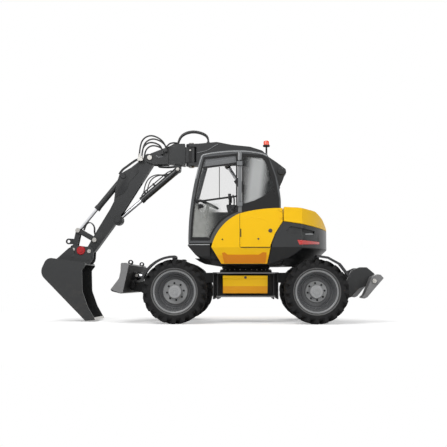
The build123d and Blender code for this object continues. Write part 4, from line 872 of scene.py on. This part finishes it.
class EXCAVATOR_OT_hoses(Operator):
    """Hoses and pipes of the boom and its cylinders"""

    bl_idname = "excavator.hoses"
    bl_label = "Hoses"

    def execute(self, context):
        over = [(0.690, 3.292), (0.690, 3.375), (0.790, 3.450), (0.965, 3.490), (1.125, 3.455),
                (1.225, 3.370), (1.252, 3.270)]
        routes = [flat(BOOM_Y + y, [(x, z + lift) for x, z in over])
                  for y, lift in ((-0.024, 0), (0.024, 0), (0, 0.020))]
        across = ("boom_upper", "head", at(0.80, BOOM_Y, 3.4), at(1.22, BOOM_Y, 3.4))
        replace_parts(tubes("arch_hoses", across, routes, 0.017), "hose_arch")
        loops = [
            [(1.464, 3.170), (1.490, 3.255), (1.600, 3.355), (1.750, 3.405), (1.885, 3.340), (1.940, 3.200),
             (1.950, 3.050)],
            [(1.530, 3.110), (1.545, 3.190), (1.650, 3.255), (1.770, 3.270), (1.860, 3.210), (1.898, 3.120),
             (1.905, 3.010)],
        ]
        routes = [flat(BOOM_Y + side * LOOP_Y, loop) for loop in loops for side in (-1, 1)]
        across = ("head", "dipper", at(1.60, BOOM_Y, 3.3), at(1.93, BOOM_Y, 3.1))
        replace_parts(tubes("arm_hoses", across, routes, 0.0145), "hoses_arm")
        bm = bmesh.new()
        for side in (-1, 1):
            for loop in loops:
                x, z = loop[-1]
                nut = bmesh.ops.create_cone(bm, cap_ends=True, segments=20, radius1=0.019, radius2=0.019,
                                            depth=0.075)["verts"]
                bmesh.ops.translate(bm, vec=at(x + 0.003, BOOM_Y + side * LOOP_Y, z - 0.03), verts=nut)
            slab(bm, [(1.880, 2.955), (1.895, 2.925), (1.985, 2.925), (1.985, 2.990), (1.930, 2.990)],
                 BOOM_Y + side * 0.085, BOOM_Y + side * 0.184)
        make_piece("hose_unions", bm, "dipper", "Bright steel")
        fan = ((1.252, 0.024, 3.262), (1.275, 0.03, 3.278), (1.34, 0.09, 3.272), (1.42, 0.15, 3.236),
               (1.464, LOOP_Y, 3.16))
        tubes("head_hoses", "head", [[(x, BOOM_Y + side * y, z) for x, y, z in fan] for side in (-1, 1)],
              0.0145)

        # Bucket cylinder: pair of hoses over the arm's shoulder and a loop by the lever
        pair = [(1.93, 2.965), (2.00, 2.990), (2.10, 2.925), (2.20, 2.850), (2.300, 2.780), (2.345, 2.700)]
        tubes("shoulder_hoses", "dipper", [flat(BOOM_Y + y, pair) for y in (-0.05, 0.05)], 0.011)
        loop = [(2.99, 1.66), (2.96, 1.79), (2.86, 1.81), (2.79, 1.72), (2.80, 1.60), (2.76, 1.54)]
        tubes("tool_hoses", "dipper", [flat(BOOM_Y + y, loop) for y in (-0.035, 0.035)], 0.0095)

        # Arm cylinder: steel pipe along the barrel and two hoses up to the head
        foot, eye = Vector((1.252, 2.780)), Vector((2.354, 1.845))
        way = (eye - foot).normalized()
        square = Vector((-way.y, way.x))
        rise = ((0.10, 0.062), (0.16, 0.088), (0.30, 0.088), (0.60, 0.088), (0.78, 0.088), (0.83, 0.060))
        pipe = flat(BOOM_Y + 0.02, [foot + way * along + square * lift for along, lift in rise])
        tubes("arm_cylinder_pipe", "arm_tube", [pipe], 0.011, "Cylinder grey")
        routes = [flat(BOOM_Y + y, [(1.885 - reach, 2.325), (1.87 - reach, 2.47), (1.80 - reach, 2.62),
                                    (1.66 - reach, 2.69), (1.50, 2.675), (1.40, 2.705)])
                  for y, reach in ((0.030, 0.0), (-0.035, 0.05))]
        tubes("arm_cylinder_hoses", "arm_tube", routes, 0.0105)
        pipe = [(1.60, 2.865), (1.66, 2.838), (1.44, 2.822), (1.30, 2.838), (1.20, 2.850)]
        tubes("head_pipes", "head", [flat(BOOM_Y + y, pipe) for y in (-0.06, 0.06)], 0.010,
              "Boom grey")
        clamps = []
        for along in (0.26, 0.52, 0.74):
            corners = ((-0.018, -0.03), (0.018, -0.03), (0.018, 0.106), (-0.018, 0.106))
            outline = [tuple(foot + way * (along + a) + square * b) for a, b in corners]
            clamps.append((outline, BOOM_Y + 0.004, BOOM_Y + 0.036))
        slabs("pipe_clamps", "arm_tube", "Cast black and painted shade", clamps, ease=0.004)
        pipe = [(0.500, 3.238), (0.560, 3.214), (0.680, 3.130), (0.760, 3.105), (0.890, 3.078)]
        tubes("boom_pipe", "boom_upper", [flat(BOOM_Y + 0.106, pipe)], 0.008, "Post grey")
        return {"FINISHED"}


class EXCAVATOR_OT_pins(Operator):
    """Heads of the pins, bosses and the ring of bolts on the slew ring"""

    bl_idname = "excavator.pins"
    bl_label = "Pins"

    def execute(self, context):
        # The middle between both sides, each head's height and (x, z, way out from the middle, radius)
        for name, body, finish_name, middle, height, spots in (
            ("arm_pivot_heads", "head", "Bright steel", BOOM_Y, 0.014, [(1.765, 2.990, 0.137, 0.050)]),
            ("arm_cylinder_foot_heads", "head", "Bright steel", BOOM_Y, 0.014,
             [(1.252, 2.780, 0.087, 0.034)]),
            ("lever_heads", "dipper", "Bright steel", BOOM_Y, 0.014, [(2.770, 1.474, 0.127, 0.046)]),
            ("rod_heads", "lever_body", "Bright steel", BOOM_Y, 0.014, [(3.081, 1.651, 0.123, 0.046)]),
            ("coupler_heads", "bucket_body", "Bright steel", BOOM_Y, 0.014,
             [(2.864, 1.267, 0.131, 0.040), (3.154, 1.300, 0.131, 0.034)]),
            ("shoulder_bosses", "dipper", "Boom grey", BOOM_Y, 0.014, [(2.256, 2.657, 0.101, 0.052)]),
            ("elbow_bosses", "dipper", "Boom grey", BOOM_Y, 0.014, [(2.354, 1.845, 0.103, 0.062)]),
            ("knee_bosses", "boom_lower", "Boom grey", BOOM_Y, 0.014,
             [(-0.649, 2.723, 0.145, 0.070), (-0.170, 2.095, 0.145, 0.042), (0.036, 1.809, 0.145, 0.042)]),
            ("mid_eye_heads", "boom_upper", "Bright steel", BOOM_Y, 0.014, [(0.330, 2.850, 0.087, 0.034)]),
            ("blade_pivot_heads", "chassis", "Bright steel", 0.0, 0.012, [(1.450, 0.520, 0.377, 0.052)]),
            ("leg_pivot_heads", "chassis", "Bright steel", 0.0, 0.012, [(-1.740, 0.520, 0.462, 0.052)]),
            ("blade_eye_heads", "blade_body", "Bright steel", 0.0, 0.012,
             [(1.930, 0.820, 0.400, 0.030), (1.930, 0.820, -0.228, 0.030)]),
            ("pad_heads", "legs_body", "Bright steel", 0.0, 0.012, [(-2.190, 0.720, 0.829, 0.042)]),
        ):
            knobs(name, body, finish_name, [
                (at(x, middle + side * reach, z), (0, side, 0), radius, height)
                for x, z, reach, radius in spots for side in (-1, 1)])
        knobs("offset_pin_heads", "head", "Bright steel", [
            (at(1.0, BOOM_Y, z), (0, 0, way), 0.058, 0.014, 32) for z, way in ((3.262, 1), (2.831, -1))])
        turns = [2 * pi * step / SLEW_BOLTS for step in range(SLEW_BOLTS)]
        knobs("slew_bolts", "chassis", "Bright steel", [
            (at(0.452 * cos(turn), 0.452 * sin(turn), 0.913), (0, 0, 1), 0.012, 0.014, 6, 0.96)
            for turn in turns])
        # Red bushing of the quick coupler
        knobs("coupler_red", "bucket_body", "Knuckle red", [
            (at(3.016, BOOM_Y + side * 0.127, 1.280), (0, side, 0), 0.082, 0.022, 40) for side in (-1, 1)])
        return {"FINISHED"}


class EXCAVATOR_OT_cab(Operator):
    """Trims, gaskets, a grab rail, painted highlight and painted reflection of the cab, and its beacon"""

    bl_idname = "excavator.cab"
    bl_label = "Cab"

    def execute(self, context):
        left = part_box("cab_shell")[1].y
        bm = bmesh.new()
        # Black surround of the rear quarter window, down to the side cover
        outer = [(0.056, 2.885), (-0.305, 2.856), (-0.398, 2.800), (-0.508, 2.480), (-0.574, 2.090),
                 (-0.574, 1.900), (-0.300, 1.900), (0.056, 1.870)]
        inner = [(0.030, 2.835), (-0.290, 2.800), (-0.345, 2.730), (-0.460, 2.400), (-0.515, 2.130),
                 (-0.500, 2.060), (-0.300, 2.015), (0.030, 1.985)]
        border(bm, outer, inner, left - 0.006, left + 0.004)
        slab(bm, [(0.030, 1.985), (0.034, 2.020), (-0.15, 2.075), (-0.33, 2.165), (-0.475, 2.290),
                  (-0.515, 2.130), (-0.500, 2.060), (-0.300, 2.015)], left - 0.010, left - 0.002)
        make_piece("quarter_surround", bm, "turret", "Trim black")
        hinges = [([(0.048, low), (0.142, low), (0.142, high), (0.048, high)], left - 0.004, left + 0.036)
                  for low, high in ((1.985, 2.052), (2.676, 2.746))]
        slabs("hinge_covers", "turret", "Post grey", hinges)
        post = [(0.122, 2.905), (0.060, 2.912), (0.060, 1.880), (0.122, 1.880)]
        slabs("rear_post_cover", "turret", "Post grey", [(post, left - 0.004, left + 0.006)],
              ease=0.003)
        # Pale tube along the edge of the roof as painted highlight, and a pale tube on the sill's lower edge
        roof_highlight = [(0.838, 2.45), (0.755, 2.835), (0.70, 2.868), (0.45, 2.906), (0.20, 2.922),
                  (-0.05, 2.918), (-0.32, 2.872), (-0.372, 2.838)]
        tubes("roof_edge_painted_highlight", "turret", [flat(left + 0.002, roof_highlight)], 0.011, "Pale grey")
        sill = [(0.962, left - 0.004, 1.330), (0.80, left + 0.001, 1.330), (0.60, left + 0.001, 1.330)]
        tubes("sill_edge", "turret", [sill], 0.009, "Pale grey")

        # On the door: bars across the glass, kick plate, latch and grab rail
        face = left + 0.001
        slabs("door_bars", "door", "Trim black", [
            ([(0.722, 2.655), (0.718, 2.628), (0.150, 2.700), (0.150, 2.727)], face - 0.030, face - 0.006),
            ([(0.905, 1.385), (0.632, 1.385), (0.632, 1.458), (0.905, 1.458)], face - 0.030, face - 0.006),
            ([(0.446, 2.655), (0.434, 2.655), (0.434, 2.105), (0.446, 2.105)], face - 0.028, face - 0.016)])
        # Grey sheet behind the glass above the black bar: painted reflection of the sky in the door glass
        slabs("door_glass_painted_reflection", "door", "Post grey", [
            ([(0.700, 2.830), (0.712, 2.662), (0.150, 2.734), (0.150, 2.872)], face - 0.034, face - 0.026)])
        bm = bmesh.new()
        knob(bm, at(0.758, face, 1.990), (0, 1, 0), 0.034, 0.026, 28)
        slab(bm, [(0.800, 2.010), (0.718, 2.010), (0.700, 1.965), (0.800, 1.935)], face - 0.020,
             face + 0.010)
        make_piece("door_latch", bm, "door", "Trim black")
        inside = [(0.215, left - 0.075, 2.180), (0.190, left - 0.085, 2.160), (0.190, left - 0.085, 1.960),
                  (0.215, left - 0.075, 1.940)]
        tubes("inner_grab_rail", "turret", [inside], 0.012, "Cylinder grey")

        # Beacon: stem and collar in black, ribbed dome
        low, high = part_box("beacon")
        middle = (low + high) / 2
        bm = bmesh.new()
        for steps, foot, top, depth, drop in ((24, 0.016, 0.016, 0.150, 0.185),
                                              (40, 0.057, 0.060, 0.026, 0.097)):
            centre = Matrix.Translation((middle.x, middle.y, high.z - drop))
            bmesh.ops.create_cone(bm, cap_ends=True, segments=steps, radius1=foot, radius2=top, depth=depth,
                                  matrix=centre)
        stem = make_piece("beacon_stem", bm, "turret", "Trim black")
        bm = bmesh.new()
        outline = [(-0.084, 0.052), (-0.030, 0.051), (-0.012, 0.045), (-0.003, 0.032), (0.0, 0.0)]
        verts = [bm.verts.new((middle.x + radius, middle.y, high.z + rise)) for rise, radius in outline]
        edges = [bm.edges.new(pair) for pair in zip(verts, verts[1:])]
        bmesh.ops.spin(bm, geom=verts + edges, cent=(middle.x, middle.y, 0), axis=(0, 0, 1), angle=2 * pi,
                       steps=48, use_merge=True)
        dome = make_piece("beacon_dome", bm, "turret", "Beacon orange")
        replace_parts(stem, "beacon")
        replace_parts(dome, "beacon")
        return {"FINISHED"}


class EXCAVATOR_OT_seat(Operator):
    """Padded seat: cushion, back and headrest on a plastic base"""

    bl_idname = "excavator.seat"
    bl_label = "Seat"

    def execute(self, context):
        cushion = stuffed("seat_cushion", SEAT_CUSHION, 0.222, fill_cap=0.014)
        back = stuffed("seat_back", SEAT_BACK, 0.207, fill_cap=0.014)
        stuffed("seat_headrest", SEAT_HEADREST, 0.106, fill_cap=0.010)
        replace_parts(cushion, "seat")
        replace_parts(back, "seat")
        bm = bmesh.new()
        for x0, x1, half, z0, z1 in ((-0.06, 0.33, 0.20, 1.409, 1.560), (-0.02, 0.29, 0.16, 1.556, 1.698)):
            slab(bm, [(x0, z0), (x1, z0), (x1, z1), (x0, z1)], SEAT_Y - half, SEAT_Y + half)
        for stalk in (-0.05, 0.05):
            knob(bm, at(-0.150, SEAT_Y + stalk, 2.360), (-0.25, 0, 1), 0.008, 0.080, 16)
        make_piece("seat_base", bm, "turret", "Cab plastic")
        return {"FINISHED"}


class EXCAVATOR_OT_covers(Operator):
    """Creases, seams and locks of the yellow covers, and the tail's vent"""

    bl_idname = "excavator.covers"
    bl_label = "Covers"

    def execute(self, context):
        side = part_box("left_cover")[1].y
        crease = [(0.086, side - 0.009, 1.766), (-0.05, side - 0.005, 1.784), (-0.20, side - 0.004, 1.782),
                  (-0.36, side - 0.005, 1.738), (-0.49, side - 0.009, 1.655)]
        tubes("panel_crease", "service_panel", [crease], 0.008, "Yellow panels")
        for name, x, z, size in (("panel_lock", -0.219, 1.423, (0.017, 0.007, 32)),
                                 ("fuel_cap", -0.420, 1.562, (0.034, 0.012, 36))):
            knobs(name, "service_panel", "End plate brown",
                  [(at(x, side - 0.001, z), (0, 1, 0), *size)])
        # Black strip in the cover's handle recess: painted shade
        slabs("handle_slit_painted_shade", "service_panel", "Trim black", [
            ([(0.086, 1.594), (0.068, 1.594), (0.068, 1.455), (0.086, 1.455)], side - 0.010, side + 0.001)])
        bm = bmesh.new()
        knob(bm, at(0.386, side - 0.001, 1.416), (0, 1, 0), 0.014, 0.005, 20)
        slab(bm, [(0.078, 1.281), (-0.415, 1.281), (-0.419, 1.273), (0.078, 1.273)], side - 0.020,
             side + 0.0008)
        make_piece("cover_seams", bm, "turret", "Trim black")
        # Black sheets behind the gaps between the covers and the hood: painted shade
        gap_backing = [(-0.6385, 1.730), (-0.6385, 1.925), (-0.632, 1.925), (-0.632, 1.730)]
        slabs("hood_gap_painted_shade", "turret", "Trim black",
              [(gap_backing, face * (side - 0.16), face * (side - 0.06)) for face in (-1, 1)])

        # Pressed panel on the covers' lower edge, which leans in towards its foot; its orange is painted shade
        foot, top, low, high = 0.9945, 1.1002, 0.985, 1.282
        panel = [(0.355, 1.020), (0.395, 1.190), (0.350, 1.200), (0.300, 1.160), (-0.225, 1.160),
                 (-0.290, 1.200), (-0.355, 1.195), (-0.336, 1.020)]
        for name, face in SIDES:
            bm = bmesh.new()
            skin(bm, [[at(x, face * (foot + (z - low) / (high - low) * (top - foot) + proud), z)
                       for x, z in panel] for proud in (-0.004, 0.0025)])
            make_piece(f"skirt_panel_{name}", bm, "turret", "Skirt painted shade orange")

        # Toolbox lids: lock and edge strips
        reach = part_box("toolboxes")[1].y
        for name, face in SIDES:
            knobs(f"toolbox_lock_{name}", "chassis", "End plate brown",
                  [(at(0.002, face * (reach - 0.001), 0.780), (0, face, 0), 0.024, 0.006, 32)])
            slabs(f"chassis_flange_{name}", "chassis", "Plate grey", [
                ([(0.495, low), (0.495, high), (-0.505, high), (-0.505, low)], face * (reach - 0.002),
                 face * (reach + 0.0015)) for low, high in ((0.845, 0.869), (0.442, 0.466))])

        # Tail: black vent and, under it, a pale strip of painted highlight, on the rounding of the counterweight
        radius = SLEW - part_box("counterweight")[0].x
        for name, face in SIDES:
            for label, rows, depth, finish_name in (
                ("vent", [(-0.970, 1.536, 1.588), (-1.06, 1.532, 1.590), (-1.150, 1.534, 1.578)], 0.029,
                 "Trim black"),
                ("vent_painted_highlight", [(-1.010, 1.498, 1.512), (-1.10, 1.502, 1.524), (-1.176, 1.506, 1.524)], 0.027,
                 "Pale grey"),
            ):
                rings = []
                for x, low, high in rows:
                    wall = min((radius * radius - x * x) ** 0.5, side) - depth
                    corners = ((wall, low), (wall, high), (wall - 0.02, high), (wall - 0.02, low))
                    rings.append([at(x, face * y, z) for y, z in corners])
                bm = bmesh.new()
                skin(bm, rings)
                make_piece(f"tail_{label}_{name}", bm, "turret", finish_name)
        return {"FINISHED"}


class EXCAVATOR_OT_ground_gear(Operator):
    """Faces of the blade's end plates, and the cutting edges of the blade and the bucket"""

    bl_idname = "excavator.ground_gear"
    bl_label = "Ground gear"

    def execute(self, context):
        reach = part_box("blade")[1].y
        plate = [(1.957, 0.983), (1.989, 1.019), (2.088, 1.017), (2.093, 0.880), (2.118, 0.762),
                 (2.258, 0.577), (2.090, 0.511), (2.053, 0.531)]
        slabs("blade_ends", "blade_body", "Plate grey",
              [(plate, side * (reach - 0.001), side * (reach + 0.002)) for side in (-1, 1)])
        blade = [(2.262, 0.572), (2.236, 0.545), (2.092, 0.507), (2.088, 0.522), (2.228, 0.560),
                 (2.246, 0.590)]
        bucket = [(2.853, 0.012), (2.674, 0.027), (2.690, 0.075), (2.715, 0.068), (2.705, 0.046),
                  (2.850, 0.034)]
        for name, body, edge, middle, half in (("blade_edge", "blade_body", blade, 0.0, reach),
                                               ("bucket_edge", "bucket_body", bucket, BOOM_Y, BUCKET_HALF)):
            slabs(name, body, "Bright steel",
                  [(edge, middle - half + 0.004, middle + half - 0.004)])
        return {"FINISHED"}


CLASSES = (ExcavatorColours, ExcavatorSizes, EXCAVATOR_OT_stage, EXCAVATOR_OT_finishes, EXCAVATOR_OT_plates,
           EXCAVATOR_OT_tyres, EXCAVATOR_OT_wheels, EXCAVATOR_OT_hoses, EXCAVATOR_OT_pins, EXCAVATOR_OT_cab,
           EXCAVATOR_OT_seat, EXCAVATOR_OT_covers, EXCAVATOR_OT_ground_gear)
STEPS = [c for c in CLASSES if issubclass(c, Operator)]


class EXCAVATOR_PT_panel(Panel):
    """Shows the colours, the sizes and a button for each step"""

    bl_idname = "EXCAVATOR_PT_panel"
    bl_label = "Excavator"
    bl_space_type = "VIEW_3D"
    bl_region_type = "UI"
    bl_category = "Excavator"

    def draw(self, context):
        for group in (context.scene.excavator_colours, context.scene.excavator_sizes):
            for name in group.__annotations__:
                self.layout.prop(group, name)
        for step in STEPS:
            self.layout.operator(step.bl_idname)


def register():
    for cls in (*CLASSES, EXCAVATOR_PT_panel):
        bpy.utils.register_class(cls)
    bpy.types.Scene.excavator_colours = PointerProperty(type=ExcavatorColours)
    bpy.types.Scene.excavator_sizes = PointerProperty(type=ExcavatorSizes)


def unregister():
    del bpy.types.Scene.excavator_sizes
    del bpy.types.Scene.excavator_colours
    for cls in reversed((*CLASSES, EXCAVATOR_PT_panel)):
        bpy.utils.unregister_class(cls)


def main():
    """Make every piece."""
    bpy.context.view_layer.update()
    register()
    for step in STEPS:
        getattr(bpy.ops.excavator, step.bl_idname.split(".")[1])()


if __name__ == "__main__":
    main()
